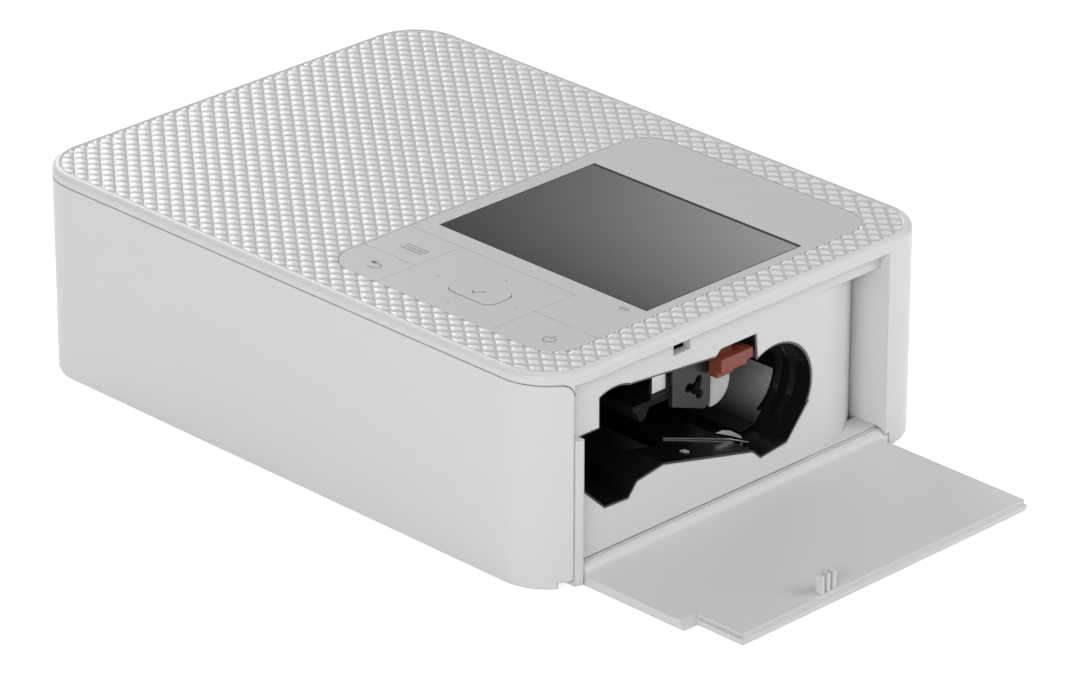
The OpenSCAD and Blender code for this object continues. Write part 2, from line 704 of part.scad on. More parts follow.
module latch() {
  x0 = ink_axis_x + latch_z - ink_axis_z + 0.2;
  blade = latch_w / 5;
  y0 = latch_y0 + 0.3;
  top = ink_cover_t + latch_h;
  for (k = [0, 2, 4])
    box([x0, x0 + latch_prong_len], [y0 + k * blade, y0 + (k + 1) * blade], [ink_skin_t, top]);
  box([x0, x0 + 0.8], [y0, y0 + latch_w], [ink_skin_t, top - 0.8]);
}

module rubber_feet() color("dimgray") at_case() for (p = FEET)
  translate([p[0], p[1], -foot_h]) cylinder(r = foot_r, h = foot_h + base_lift + 0.4);

module screw(r, len, head_r, head_h) {
  difference() {
    translate([0, 0, -head_h]) cylinder(r = head_r, h = head_h);
    for (a = [0, 90]) rotate([0, 0, a]) translate([-head_r * 0.6, -0.3, -head_h - cut])
      cube([head_r * 1.2, 0.6, cut + 0.5]);
  }
  cylinder(r = r, h = len);
}

module case_screws() color("silver") at_case() for (p = COLUMNS)
  translate([p[0], p[1], base_lift + 1]) screw(screw_r, 12, 2.4, 1);

// Control panel -----------------------------------------------------------------------------------

module panel_plan() rounded_rect(panel_w, panel_len, panel_r);

module control_panel() color("lightgray") at_case() {
  difference() {
    translate([panel_x0, panel_front, panel_under]) linear_extrude(panel_t) difference() {
      panel_plan();
      translate([-cut, -cut]) square([panel_w - power_key_w + cut, key_row_d + cut]);
      translate([panel_w - power_key_w - cut, -cut])
        square([power_key_w + 2 * cut, power_key_d + cut]);
    }
    box([window_x0, window_x0 + screen_w], [window_y0, window_y0 + screen_d],
      [panel_under - cut, panel_top + cut]);
    translate([status_x, status_y, panel_under - cut]) cylinder(r = 1, h = panel_t + 2 * cut);
  }
  carrier();
}

// The web under the keys, with a hole for each key stem, and the posts of the key board
module carrier() {
  difference() {
    translate([panel_x0, panel_front, carrier_z - carrier_t]) linear_extrude(carrier_t) intersection() {
      panel_plan();
      square([panel_w, key_row_d + carrier_wall[1]]);
    }
    for (p = STEMS)
      translate([p[0], p[1], carrier_z - carrier_t - cut]) cylinder(r = 2.2, h = carrier_t + 2 * cut);
    translate([ok_x, ok_y, carrier_z - carrier_t - cut])
      cylinder(r = gimbal_hole_r, h = carrier_t + 2 * cut);
    translate([status_x, status_y, carrier_z - carrier_t - cut]) cylinder(r = 1.5, h = carrier_t + 2 * cut);
  }
  box([panel_x0 + 4, panel_x1 - 4], [key_row_y1 + carrier_wall[0], key_row_y1 + carrier_wall[1]],
    [carrier_z - 0.1, panel_under + 0.1]);
  for (side = [0, 180]) translate([ok_x, ok_y, pad_axis_z]) rotate([0, 0, side]) difference() {
    box([ring_r + 0.2, gimbal_hole_r + 0.4], [-0.9, 0.9], [-0.65, 0.65]);
    rod_x(ring_r, ring_r + 1.6, 0, 0, gimbal_pin_r + run_clear);
  }
  for (p = BOARD_PINS)
    translate([p[0], p[1], board_top]) cylinder(r = 1.6, h = carrier_z - carrier_t - board_top);
}

// Places of the key stems and of the board's posts
STEMS = [[pad_x0 - side_key_w / 2, panel_front + 20.3], [pad_x0 - side_key_w / 2, panel_front + 7],
  [panel_x1 - power_key_w / 2, panel_front + 7.5], [ok_x, ok_y],
  [pad_x0 + 7.4, ok_y], [pad_x1 - 4, ok_y], [ok_x, key_row_y1 - 5], [ok_x, panel_front + 3.6]];
BOARD_PINS = [[panel_x0 + 4.5, panel_front + 14], [panel_x1 - 5, panel_front + 18],
  [pad_x0 + 1.5, panel_front + 4.4], [pad_x1 + 3, panel_front + 26]];

module screen_window() color("dimgray") at_case()
  box([window_x0 + fit, window_x0 + screen_w - fit], [window_y0 + fit, window_y0 + screen_d - fit],
    [panel_under, panel_top]);

module lcd_module() color("silver") at_case() difference() {
  box([window_x0 - lcd_rim, window_x0 + screen_w + lcd_rim],
    [window_y0 - lcd_rim, window_y0 + screen_d + lcd_rim],
    [panel_under - lcd_t, panel_under]);
  box([window_x0 + 2, window_x0 + screen_w - 2], [window_y0 + 2, window_y0 + screen_d - 2],
    [panel_under - 0.4, panel_under + cut]);
}

// A key cap cut from the panel's outline between x and y limits, with its stem
module key_cap(x, y, stem) {
  translate([panel_x0, panel_front, panel_under]) linear_extrude(panel_t) intersection() {
    panel_plan();
    translate([x[0] - panel_x0, y[0] - panel_front]) square([x[1] - x[0], y[1] - y[0]]);
  }
  translate([stem[0], stem[1], stem_end]) cylinder(r = 1.7, h = panel_under - stem_end + 0.1);
}

module menu_key() color("lightgray") at_case()
  key_cap([panel_x0, pad_x0 - key_gap], [panel_front + 13.1 + key_gap / 2, key_row_y1 - key_gap], STEMS[0]);

module back_key() color("lightgray") at_case()
  key_cap([panel_x0, pad_x0 - key_gap], [panel_front, panel_front + 13.1 - key_gap / 2], STEMS[1]);

module power_key() color("lightgray") at_case()
  key_cap([pad_x1, panel_x1], [panel_front, panel_front + power_key_d - key_gap], STEMS[2]);

module ok_outline(grow) translate([ok_x - ok_w / 2 - grow, ok_y - ok_d / 2 - grow])
  rounded_rect(ok_w + 2 * grow, ok_d + 2 * grow, 2.8 + grow);

module ok_key() color("lightgray") at_case() {
  translate([0, 0, panel_under]) linear_extrude(panel_t + 0.15) ok_outline(0);
  translate([ok_x, ok_y, stem_end]) cylinder(r = 1.7, h = panel_under - stem_end + 0.1);
}

module direction_pad() color("lightgray") at_case() {
  difference() {
    translate([panel_x0, panel_front, panel_under]) linear_extrude(panel_t) intersection() {
      panel_plan();
      translate([side_key_w, 0]) square([pad_x1 - pad_x0 - key_gap, key_row_d - key_gap]);
    }
    translate([0, 0, panel_under - cut]) linear_extrude(panel_t + 2 * cut) ok_outline(key_gap);
  }
  for (k = [4 : 7])
    translate([STEMS[k][0], STEMS[k][1], stem_end]) cylinder(r = 1.4, h = panel_under - stem_end + 0.1);
  for (side = [0, 180]) translate([ok_x, ok_y, pad_axis_z]) rotate([0, 0, side]) difference() {
    union() {
      box([-0.9, 0.9], [ring_r + 0.2, lug_y + 1], [-0.65, 0.65]);
      box([-0.9, 0.9], [lug_y, lug_y + 1], [0, panel_under - pad_axis_z + 0.1]);
    }
    rod_y(ring_r, ring_r + 1.6, 0, 0, gimbal_pin_r + run_clear);
  }
}

// The ring round the centre key's stem that lets the direction pad rock both ways
module pad_pivot() color("gray") at_case() {
  translate([ok_x, ok_y, pad_axis_z]) {
    translate([0, 0, -0.5]) difference() {
      cylinder(r = ring_r, h = 1);
      translate([0, 0, -cut]) cylinder(r = ring_r - 1.1, h = 1 + 2 * cut);
    }
    for (turn = [0 : 90 : 270]) rotate([0, 0, turn]) rod_x(ring_r - 0.5, ring_r + 1.2, 0, 0, gimbal_pin_r);
  }
}

module panel_board() color("darkgreen") at_case()
  box([panel_x0 + 2.6, panel_x1 - 2.6], [panel_front + 2.6, key_row_y1 + carrier_wall[0]],
    [board_top - board_t, board_top]);

module key_switches() color("silver") at_case() for (p = STEMS) translate([p[0], p[1], board_top]) {
  translate([-1.6, -1.6, 0]) cube([3.2, 3.2, switch_h - 0.4]);
  cylinder(r = 0.9, h = switch_h);
}

module status_light() color("white") at_case() {
  translate([status_x, status_y, board_top + 0.9]) cylinder(r = 0.95, h = panel_top - board_top - 0.9);
  translate([status_x - 1, status_y - 0.9, board_top]) cube([2, 1.8, 0.9]);
}

// Flat cable from the key board down to the main board
module panel_cable() color("white") at_case() {
  x0 = main_board_x1 - 24;
  z0 = main_board_z + board_t;
  z1 = board_top - board_t - 0.2;
  y0 = key_row_y1 - 6;
  box([x0 + 4, panel_x0 + 12], [y0, y0 + 8], [z1, z1 + 0.2]);
  box([x0 + 4, x0 + 4.2], [y0, y0 + 8], [z0 + 1.4, z1 + 0.2]);
  box([x0 + 2, x0 + 6], [main_board_y0 + 1, main_board_y0 + 9], [z0, z0 + 1.4]);
  box([x0 + 4, x0 + 4.2], [y0, main_board_y0 + 8], [z0 + 1.4, z0 + 3]);
}

// Chassis -----------------------------------------------------------------------------------------

module compartment_liner() color("black") at_case() difference() {
  union() {
    along_x(bay_x, frame_in_x - bay_x) mouth_ring(liner_t, 0);
    along_x(frame_in_x - 1, side_frame_t + 0.7) mouth_ring(mouth_lip_t, 0);
    for (x = [frame_in_x - 9, frame_in_x - 4.5]) along_x(x, 1) intersection() {
      translate([supply_y, supply_z]) difference() {
        circle(r = supply_lobe_r + 0.1);
        circle(r = supply_lobe_r - 1.1);
      }
      translate([supply_y + 3, supply_z - 10]) square([20, 22]);
    }
  }
  box([bay_x + 1.2, frame_in_x - 1.2], [at_y(38), at_y(74)], [at_z(36.5), case_h]);
  box([bay_x + 4, right_in_x - 2], [platen_y - platen_r - 0.6, platen_y + platen_r + 0.6],
    [0, platen_z + 11.8]);
  box([frame_in_x - 4, recess_x + cut], [lever_y0 - 0.6, lever_y1 + 0.6], [at_z(36.5), case_h]);
}

module shaft_holes(x0, x1) {
  for (p = SHAFTS) rod_x(x0, x1, p[0], p[1], bush_r);
  rod_x(x0, x1, head_axis_y, head_axis_z, shaft_r);
}

module left_plate() color("silver") at_case() {
  difference() {
    union() {
      box([left_x, bay_x], [at_y(14), at_y(112)], [floor_top, chassis_top]);
      box([left_x - 8, left_x], [at_y(50), at_y(95.5)], [floor_top, floor_top + plate_t]);
    }
    shaft_holes(left_x - cut, bay_x + cut);
    for (p = SPINDLES) rod_x(left_x - cut, bay_x + cut, p[0], p[1], bush_r);
    for (p = GEAR_POSTS) rod_x(left_x - cut, bay_x + cut, p[0], p[1], 1.3);
    for (p = base_screws()) translate([p[0], p[1], 0]) cylinder(r = 1.25, h = 6);
  }
}

module right_plate() color("silver") at_case() {
  difference() {
    union() {
      box([right_in_x, right_x], [at_y(14), grip_y + 5], [floor_top, chassis_top]);
      box([right_in_x - 7, right_in_x], [at_y(50), at_y(95.5)], [floor_top, floor_top + plate_t]);
    }
    along_x(right_in_x - cut, plate_t + 2 * cut) offset(delta = liner_t + 0.3) mouth();
    shaft_holes(right_in_x - cut, right_x + cut);
    for (p = base_screws()) translate([p[0], p[1], 0]) cylinder(r = 1.25, h = 6);
  }
  box([right_x, right_x + 1], [at_y(43.6), at_y(48.2)], [at_z(36), chassis_top]);
}

// The plate that carries the motors, on posts from the left chassis plate
module gear_plate() color("silver") at_case() {
  difference() {
    box([gear_plate_x, gear_plate_x + 1.2], [at_y(14), at_y(112)], [floor_top + 2, chassis_top - 6.5]);
    rod_x(gear_plate_x - cut, gear_plate_x + 2, feed_y, feed_z, 3);
    rod_x(gear_plate_x - cut, gear_plate_x + 2, ribbon_y, ribbon_z, 3);
    for (p = GEAR_POSTS) rod_x(gear_plate_x - cut, gear_plate_x + 2, p[0], p[1], 1.3);
  }
  for (p = GEAR_POSTS) difference() {
    rod_x(gear_plate_x + 1.2, left_x, p[0], p[1], 2.4);
    rod_x(gear_plate_x, left_x + cut, p[0], p[1], 1.3);
  }
}

module cross_braces() color("silver") at_case() for (y = [[at_y(36), at_y(46)], [grip_y + 1, grip_y + 4]])
  box([bay_x, right_in_x], y, [chassis_top - plate_t, chassis_top]);

module chassis_screws() color("silver") at_case() {
  for (p = GEAR_POSTS) translate([bay_x, p[0], p[1]]) rotate([0, -90, 0]) screw(1.2, 10, 2.2, 1);
  for (p = base_screws())
    translate([p[0], p[1], floor_top + plate_t]) mirror([0, 0, 1]) screw(1.2, 3, 2.2, 1);
}

module bush(x, y, z, side) difference() {
  union() {
    rod_x(side > 0 ? x : x - plate_t - 1.2, side > 0 ? x + plate_t + 1.2 : x, y, z, bush_r);
    rod_x(side > 0 ? x + plate_t : x - plate_t - 1, side > 0 ? x + plate_t + 1 : x - plate_t,
      y, z, bush_r + 0.9);
  }
  rod_x(x - 6, x + 6, y, z, shaft_r + run_clear);
}

module shaft_bushes() color("ivory") at_case() {
  for (p = concat(SHAFTS, SPINDLES)) bush(bay_x, p[0], p[1], -1);
  for (p = SHAFTS) bush(right_in_x, p[0], p[1], 1);
}

// Rollers -----------------------------------------------------------------------------------------

module sleeve(x0, x1, y, z, r) difference() {
  rod_x(x0, x1, y, z, r);
  rod_x(x0 - cut, x1 + cut, y, z, shaft_r);
}

module platen_shaft() color("silver") at_case()
  rod_x(left_x - 1.6, right_x + 1.6, platen_y, platen_z, shaft_r);

module platen_roller() color("#2b2b2b") at_case()
  sleeve(bay_x + roller_margin, right_in_x - roller_margin, platen_y, platen_z, platen_r);

module grip_roller() color("silver") at_case() {
  rod_x(gear_x - 0.6, right_x + 1.6, grip_y, grip_z, shaft_r);
  rod_x(bay_x + 3.4, right_in_x - 3.4, grip_y, grip_z, grip_r);
}

module grip_gear() color("ivory") at_case()
  gear_x_at(grip_y, grip_z, grip_teeth, shaft_r, feed_angle);

module pinch_roller() color("#3a3a3a") at_case() {
  rod_x(bay_x + 1, right_in_x - 1, grip_y, pinch_z, 1.5);
  rod_x(bay_x + 8, right_in_x - 8, grip_y, pinch_z, pinch_r);
}

module pinch_holders() color("dimgray") at_case() for (x = [bay_x + 1.2, right_in_x - 5.2]) difference() {
  box([x, x + 4], [grip_y - 3, grip_y + 3], [pinch_z - 2.7, pinch_z + 2.7]);
  rod_x(x - cut, x + 4 + cut, grip_y, pinch_z, 1.5 + run_clear);
}

module pinch_springs() color("silver") at_case() for (x = [bay_x + 3.2, right_in_x - 3.2])
  translate([x, grip_y, floor_top]) coil(1.4, 0.25, pinch_z - 2.7 - floor_top, 3);

module pickup_shaft() color("silver") at_case()
  rod_x(left_x - 1.6, right_x + 1.6, pickup_y, pickup_z, shaft_r);

module pickup_roller() color("#2b2b2b") at_case() {
  middle = (bay_x + right_in_x) / 2;
  for (x = [-26, 12]) sleeve(middle + x, middle + x + 14, pickup_y, pickup_z, pickup_r);
}

// Paper guides ------------------------------------------------------------------------------------

module guide_ribs(points) for (k = [0 : 4])
  along_x(bay_x + 7 + k * (guide_x1 - bay_x - 16) / 4, 1.6) polygon(points);

module lower_guide() color("black") at_case() {
  along_x(bay_x + 1, guide_x1 - bay_x - 1)
    polygon(floor_view([[54.4, 14.6], [75, 8], [86, 8], [93, 9.4], [93, 8.2], [86, 6.8], [74.8, 6.8],
      [54.4, 13.4]]));
  guide_ribs(floor_view([[56, floor_top], [92, floor_top], [92, 8.4], [86, 7], [75, 7], [56, 13.2]]));
}

module rear_guide() color("black") at_case() {
  y1 = case_d - wall - fit;
  along_x(bay_x + 1, guide_x1 - bay_x - 1)
    polygon([[at_y(103.6), 8.4], [y1, 7.6], [y1, 6.6], [at_y(103.6), 7]]);
  guide_ribs([[at_y(105), floor_top], [y1 - 1, floor_top], [y1 - 1, 6.8], [at_y(105), 7.2]]);
}

// Print head --------------------------------------------------------------------------------------

module head_arm() color("#303236") at_case() {
  for (x = [head_x0, head_x1 - cheek_t]) difference() {
    along_x(x, cheek_t) difference() {
      polygon(concat(
        [[at_y(49.2), head_low_z + 5.4], [at_y(60.4), head_low_z + 1.4], [at_y(61.8), head_low_z + 2.8]],
        side_view([[61.8, 39], [66, 43.4], [90, 41.6], [98, 40], [98, 46], [70, 47.4], [49.2, 44]])));
      translate([at_y(57.2), head_low_z + 7.9]) lobed_hole();
    }
    rod_x(x - cut, x + cheek_t + cut, head_axis_y, head_axis_z, shaft_r + run_clear);
  }
  box([head_x0 + cheek_t, head_x1 - cheek_t], [at_y(51), at_y(60)], [sink_top, sink_top + 1.2]);
}

// Hole in a cheek: a round middle with three smaller lobes
module lobed_hole() {
  circle(r = 1.7);
  for (p = [[0.9, 1.7], [-2.4, 0.7], [1.2, -2.1]]) translate(p) circle(r = 1.2);
}

module heat_sink() color("gray") at_case() {
  x0 = head_x0 + cheek_t + 4;
  x1 = right_in_x - 4;
  box([x0, x1], [at_y(50), at_y(61)], [sink_z, sink_z + 2.4]);
  for (k = [0 : 4]) box([x0, x1], [at_y(51 + 2 * k), at_y(51 + 2 * k) + 0.8], [sink_z + 2.4, sink_top]);
}

module thermal_head() color("#26282b") at_case() {
  x0 = head_x0 + cheek_t + 4;
  x1 = right_in_x - 4;
  box([x0, x1], [at_y(44), at_y(60)], [sink_z - 1.6, sink_z]);
  along_x(x0, x1 - x0) translate([at_y(45), head_low_z])
    polygon([[0, 2.8], [1.2, 0], [2.8, 0], [4.6, 2.8]]);
}

module head_shaft() color("silver") at_case()
  rod_x(left_x - 1.2, right_x + 3, head_axis_y, head_axis_z, shaft_r);

module head_springs() color("silver") at_case() for (x = [head_x0 + cheek_t + 0.4, right_in_x - 6])
  translate([x, head_axis_y, head_axis_z]) rotate([0, 90, 0]) coil(3, 0.4, 5, 4);

// Ribbon drive ------------------------------------------------------------------------------------

module spindle_hub(y, z) {
  rod_x(bay_x + 1.4, bay_x + 9, y, z, 3.2);
  for (a = [0, 120, 240]) translate([bay_x + 1.4, y, z]) rotate([a, 0, 0]) translate([0, -0.6, 0])
    cube([6.6, 1.2, 4.6]);
}

module take_up_spindle() color("ivory") at_case() {
  rod_x(gear_x - 0.6, bay_x + 1.4, take_up_y, take_up_z, shaft_r);
  spindle_hub(take_up_y, take_up_z);
}

module take_up_gear() color("ivory") at_case()
  gear_x_at(take_up_y, take_up_z, take_up_teeth, shaft_r, ribbon_angle);

module supply_spindle() color("ivory") at_case() {
  rod_x(gear_x - 0.6, bay_x + 1.4, supply_y, supply_z, shaft_r);
  spindle_hub(supply_y, supply_z);
  rod_x(gear_x - 0.6, gear_x + 0.6, supply_y, supply_z, 4.4);
}

module brake_spring() color("silver") at_case()
  translate([gear_x + 0.7, supply_y, supply_z]) rotate([0, 90, 0]) coil(3, 0.3, left_x - gear_x - 2.0, 2.5);

// A motor can with a front boss whose hole clears the pinion's shaft
module motor(y, z, can_r, len) difference() {
  union() {
    rod_x(gear_plate_x - len, gear_plate_x, y, z, can_r);
    rod_x(gear_plate_x, gear_plate_x + 1.2, y, z, 2.9);
  }
  rod_x(gear_plate_x - 6, gear_plate_x + 2, y, z, motor_shaft_r + run_clear);
}

module ribbon_motor() color("silver") at_case() motor(ribbon_y, ribbon_z, ribbon_can_r, 25);

module feed_motor() color("silver") at_case() motor(feed_y, feed_z, feed_can_r, 16);

// A motor pinion and its shaft, with a gap facing the gear it drives
module pinion(y, z, angle) {
  gear_x_at(y, z, pinion_teeth, motor_shaft_r - 0.05, angle + 180 + 180 / pinion_teeth);
  rod_x(gear_plate_x - 5, gear_x + gear_w + 0.4, y, z, motor_shaft_r);
}

module ribbon_pinion() color("goldenrod") at_case() pinion(ribbon_y, ribbon_z, ribbon_angle);

module feed_pinion() color("goldenrod") at_case() pinion(feed_y, feed_z, feed_angle);

// Cassette release lever --------------------------------------------------------------------------

module release_lever() color("#a8503c") at_case() {
  stem_x0 = frame_in_x - 1.8;
  difference() {
    box([head_x1 + 0.6, recess_x - 0.1], [lever_y0, lever_y1], [lever_z0, lever_z1]);
    box([head_x1, recess_x + cut], [lever_y1 - 2, lever_y1 + cut], [lever_z0 - cut, lever_z0 + 1]);
  }
  box([head_x1 + 0.6, recess_x - 1.4], [lever_y0, lever_y0 + 5.5], [lever_z0 - 1.6, lever_z0]);
  box([stem_x0, frame_in_x - 0.3], [lever_y0 + 2.2, lever_y1 - 4.4], [lever_z1, latch_z - 2.4]);
}

module lever_spring() color("silver") at_case()
  translate([frame_in_x - 1.25, (lever_y0 + lever_y1 - 2.4) / 2, latch_z - 2.4]) coil(0.8, 0.15, 3.4, 4);

// Electronics -------------------------------------------------------------------------------------

module main_board() color("darkgreen") at_case() difference() {
  union() {
    box([main_board_x0, main_board_x1], [main_board_y0, main_board_y1], [main_board_z, main_board_z + board_t]);
    for (p = [[20, main_board_y0 + 16], [34, main_board_y0 + 32], [18, main_board_y1 - 24]])
      translate([p[0], p[1], main_board_z + board_t]) cube([12, 12, 1.6]);
    for (k = [0 : 3])
      translate([38, main_board_y1 - 24 + 6 * k, main_board_z + board_t]) cylinder(r = 2.4, h = 4.6);
  }
  for (p = BOARD_POSTS) translate([p[0], p[1], 0]) cylinder(r = board_screw_r + fit, h = case_h);
}

module board_screws() color("silver") at_case() for (p = BOARD_POSTS)
  translate([p[0], p[1], main_board_z]) screw(board_screw_r, 6, 2, 0.8);

module power_board() color("darkgreen") at_case()
  box([jack_x - 7.4, jack_x + 12], [case_d - 37, case_d - wall - 1], [power_board_z, power_board_z + board_t]);

// Power inlet: a round socket with a centre pin
module dc_jack() color("#222222") at_case() {
  y1 = case_d - wall + 1.4;
  difference() {
    union() {
      box([jack_x - 4.6, jack_x + 4.6], [case_d - wall - 13, case_d - wall - fit],
        [power_board_z + board_t, jack_z + 4.6]);
      rod_y(case_d - wall - 1, y1, jack_x, jack_z, 4.1);
    }
    rod_y(case_d - wall - 9, y1 + cut, jack_x, jack_z, 2.9);
  }
  rod_y(case_d - wall - 9.5, y1 - 1, jack_x, jack_z, 0.9);
}

module card_socket() color("silver") at_case() difference() {
  box([wall + fit, wall + 24], [card_y - 1, card_y + 26], [main_board_z - 3.4, main_board_z]);
  box([wall, wall + 23], [card_y + 0.2, card_y + 24.8], [main_board_z - 2.8, main_board_z - 0.5]);
}

module usb_socket() color("silver") at_case() difference() {
  box([wall + fit, wall + 7.5], [usb_y + 0.3, usb_y + 9.1], [main_board_z - 3.2, main_board_z]);
  box([wall, wall + 6.8], [usb_y + 0.6, usb_y + 8.8], [main_board_z - 2.9, main_board_z - 0.3]);
}

upper_case();
base_shell();
front_frame();
side_frame();
front_cover();
ink_cover();
rubber_feet();
case_screws();
control_panel();
screen_window();
lcd_module();
menu_key();
back_key();
power_key();
ok_key();
direction_pad();
pad_pivot();
panel_board();
key_switches();
status_light();
panel_cable();
compartment_liner();
left_plate();
right_plate();
gear_plate();
cross_braces();
chassis_screws();
shaft_bushes();
platen_roller();
platen_shaft();
grip_roller();
grip_gear();
pinch_roller();
pinch_holders();
pinch_springs();
pickup_roller();
pickup_shaft();
lower_guide();
rear_guide();
head_arm();
heat_sink();
thermal_head();
head_shaft();
head_springs();
take_up_spindle();
take_up_gear();
supply_spindle();
brake_spring();
ribbon_motor();
ribbon_pinion();
feed_motor();
feed_pinion();
release_lever();
lever_spring();
main_board();
board_screws();
power_board();
dc_jack();
card_socket();
usb_socket();
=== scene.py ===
import math

import bmesh
import bpy
from mathutils import Matrix, Vector


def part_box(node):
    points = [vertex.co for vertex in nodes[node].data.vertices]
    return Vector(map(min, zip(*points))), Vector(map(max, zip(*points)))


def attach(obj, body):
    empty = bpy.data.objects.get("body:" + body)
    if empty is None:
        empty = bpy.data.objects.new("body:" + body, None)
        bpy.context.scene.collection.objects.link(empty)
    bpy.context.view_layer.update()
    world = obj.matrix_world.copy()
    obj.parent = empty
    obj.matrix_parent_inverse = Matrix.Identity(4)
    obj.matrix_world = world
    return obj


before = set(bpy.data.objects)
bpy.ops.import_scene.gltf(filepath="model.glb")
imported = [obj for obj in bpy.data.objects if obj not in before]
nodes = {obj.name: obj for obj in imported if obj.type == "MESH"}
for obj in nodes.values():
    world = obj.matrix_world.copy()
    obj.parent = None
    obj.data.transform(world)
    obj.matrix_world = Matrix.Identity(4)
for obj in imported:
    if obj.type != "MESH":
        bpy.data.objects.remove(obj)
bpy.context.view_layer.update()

mm = 0.001


# the front left lower corner of the case, in metres
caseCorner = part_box("upper_case")[0]


def place(x, y, z):
    # millimetres from that corner, as a point of the shared frame
    return caseCorner + Vector((x, y, z)) * mm


def measured(corner):
    # the reverse of place
    return [(far - near) / mm for far, near in zip(corner, caseCorner)]


# shader building

class Signal:
    # wraps one output socket: arithmetic on it adds Math nodes
    def __init__(self, tree, socket=None):
        self.tree = tree
        self.socket = socket

    def add(self, kind, settings=None, values=None, output=0):
        node = self.tree.nodes.new(kind)
        for name, value in (settings or {}).items():
            setattr(node, name, value)
        for name, value in (values or {}).items():
            target = node.inputs[name]
            if isinstance(value, Signal):
                self.tree.links.new(value.socket, target)
            else:
                target.default_value = value
        return Signal(self.tree, node.outputs[output]) if node.outputs else None

    def beside(self, output):
        # another output of the same node
        return Signal(self.tree, self.socket.node.outputs[output])

    def maths(self, operation, *values):
        return self.add("ShaderNodeMath", {"operation": operation}, dict(enumerate(values)))

    def __add__(self, other):
        return self.maths("ADD", self, other)

    def __sub__(self, other):
        return self.maths("SUBTRACT", self, other)

    def __rsub__(self, other):
        return self.maths("SUBTRACT", other, self)

    def __mul__(self, other):
        return self.maths("MULTIPLY", self, other)

    def __truediv__(self, other):
        return self.maths("DIVIDE", self, other)

    __radd__ = __add__
    __rmul__ = __mul__

    def clamped(self, low=0.0, high=1.0):
        return self.maths("MINIMUM", self.maths("MAXIMUM", self, low), high)

    def between(self, low, high):
        # 0 below low, 1 above high, smooth in between
        return self.add("ShaderNodeMapRange", {"interpolation_type": "SMOOTHSTEP"},
                        {"Value": self, "From Min": low, "From Max": high})


def rgb(value, tint=(1.0, 1.0, 1.0)):
    return tuple(value * part for part in tint) + (1.0,)


def mixColour(start, factor, first, second):
    # a Mix node has several sockets of one name: inputs 6 and 7 and output 2 are the colours
    return start.add("ShaderNodeMix", {"data_type": "RGBA"}, {"Factor": factor, 6: first, 7: second}, output=2)


def newMaterial(name):
    material = bpy.data.materials.new(name)
    material.use_nodes = True
    tree = material.node_tree
    tree.nodes.clear()
    start = Signal(tree)
    where = start.add("ShaderNodeTexCoord", output="Object")
    return material, start, where


def finishMaterial(start, constants, changing, bump=None, edge=0.0):
    # constants sit on the shader's own sockets, changing ones are linked
    # bump holds a height, its strength and its distance in metres, and edge is the radius of softened edges
    values = dict(constants)
    values.update(changing)
    if bump is not None:
        height, strength, distance = bump
        raised = {"Strength": strength, "Distance": distance, "Height": height}
        if edge:
            raised["Normal"] = start.add("ShaderNodeBevel", {"samples": 4}, {"Radius": edge})
        values["Normal"] = start.add("ShaderNodeBump", None, raised)
    shader = start.add("ShaderNodeBsdfPrincipled", None, values)
    start.add("ShaderNodeOutputMaterial", None, {"Surface": shader})


def noise(start, where, scale, detail=2.0, roughness=0.5):
    return start.add("ShaderNodeTexNoise", None,
                     {"Vector": where, "Scale": scale, "Detail": detail, "Roughness": roughness})


def mouldedPlastic(name, tone, tint, roughness, grainScale, grainDepth, coat=0.0, shade=0.03,
                   edge=0.0):
    # injection moulded plastic: fine spark-eroded grain, faint flow shading, softly uneven gloss
    material, start, where = newMaterial(name)
    grain = noise(start, where, grainScale, detail=3.0, roughness=0.6)
    flow = noise(start, where, 18.0, detail=2.0, roughness=0.5)
    factor = (flow - 0.5) * 2.0 * shade + (grain - 0.5) * shade * 0.7 + 0.5
    darker, lighter = rgb(tone * (1 - shade), tint), rgb(tone * (1 + shade), tint)
    colour = mixColour(start, factor.clamped(), darker, lighter)
    rough = (grain - 0.5) * 0.12 + (flow - 0.5) * 0.10 + roughness
    finishMaterial(start, {"IOR": 1.46, "Coat Roughness": 0.25, "Coat Weight": coat},
                   {"Base Color": colour, "Roughness": rough.clamped(0.05, 1.0)},
                   (grain, 0.35, grainDepth), edge)
    return material


def stretch(start, where, scale):
    # long scratches lie along the axis with the lowest scale
    return start.add("ShaderNodeMapping", {"vector_type": "POINT"}, {"Vector": where, "Scale": scale})


def sheetMetal(name, tone, tint, roughness, brushed=(900.0, 60.0, 900.0)):
    # rolled sheet or turned bar: long fine scratches and a slightly clouded gloss
    material, start, where = newMaterial(name)
    lines = noise(start, stretch(start, where, brushed), 1.0, detail=4.0, roughness=0.6)
    cloud = noise(start, where, 45.0, detail=3.0, roughness=0.55)
    wear = (lines * 0.5 + cloud * 0.5).clamped()
    colour = mixColour(start, wear, rgb(tone * 0.82, tint), rgb(tone * 1.1, tint))
    rough = (lines - 0.5) * 0.2 + (cloud - 0.5) * 0.2 + roughness
    finishMaterial(start, {"Metallic": 1.0}, {"Base Color": colour, "Roughness": rough.clamped(0.05, 1.0)},
                   (lines, 0.12, 0.00005))
    return material


def rollerRubber(name, tone):
    # matt rubber with pale dust in patches
    material, start, where = newMaterial(name)
    grain = noise(start, where, 2600.0, detail=3.0, roughness=0.7)
    dust = noise(start, where, 70.0, detail=4.0, roughness=0.6)
    colour = mixColour(start, dust.between(0.45, 0.8), rgb(tone), rgb(tone * 2.2 + 0.01))
    rough = (0.62 + (grain - 0.5) * 0.3).clamped()
    finishMaterial(start, {"IOR": 1.5}, {"Base Color": colour, "Roughness": rough},
                   (grain, 0.5, 0.00006))
    return material


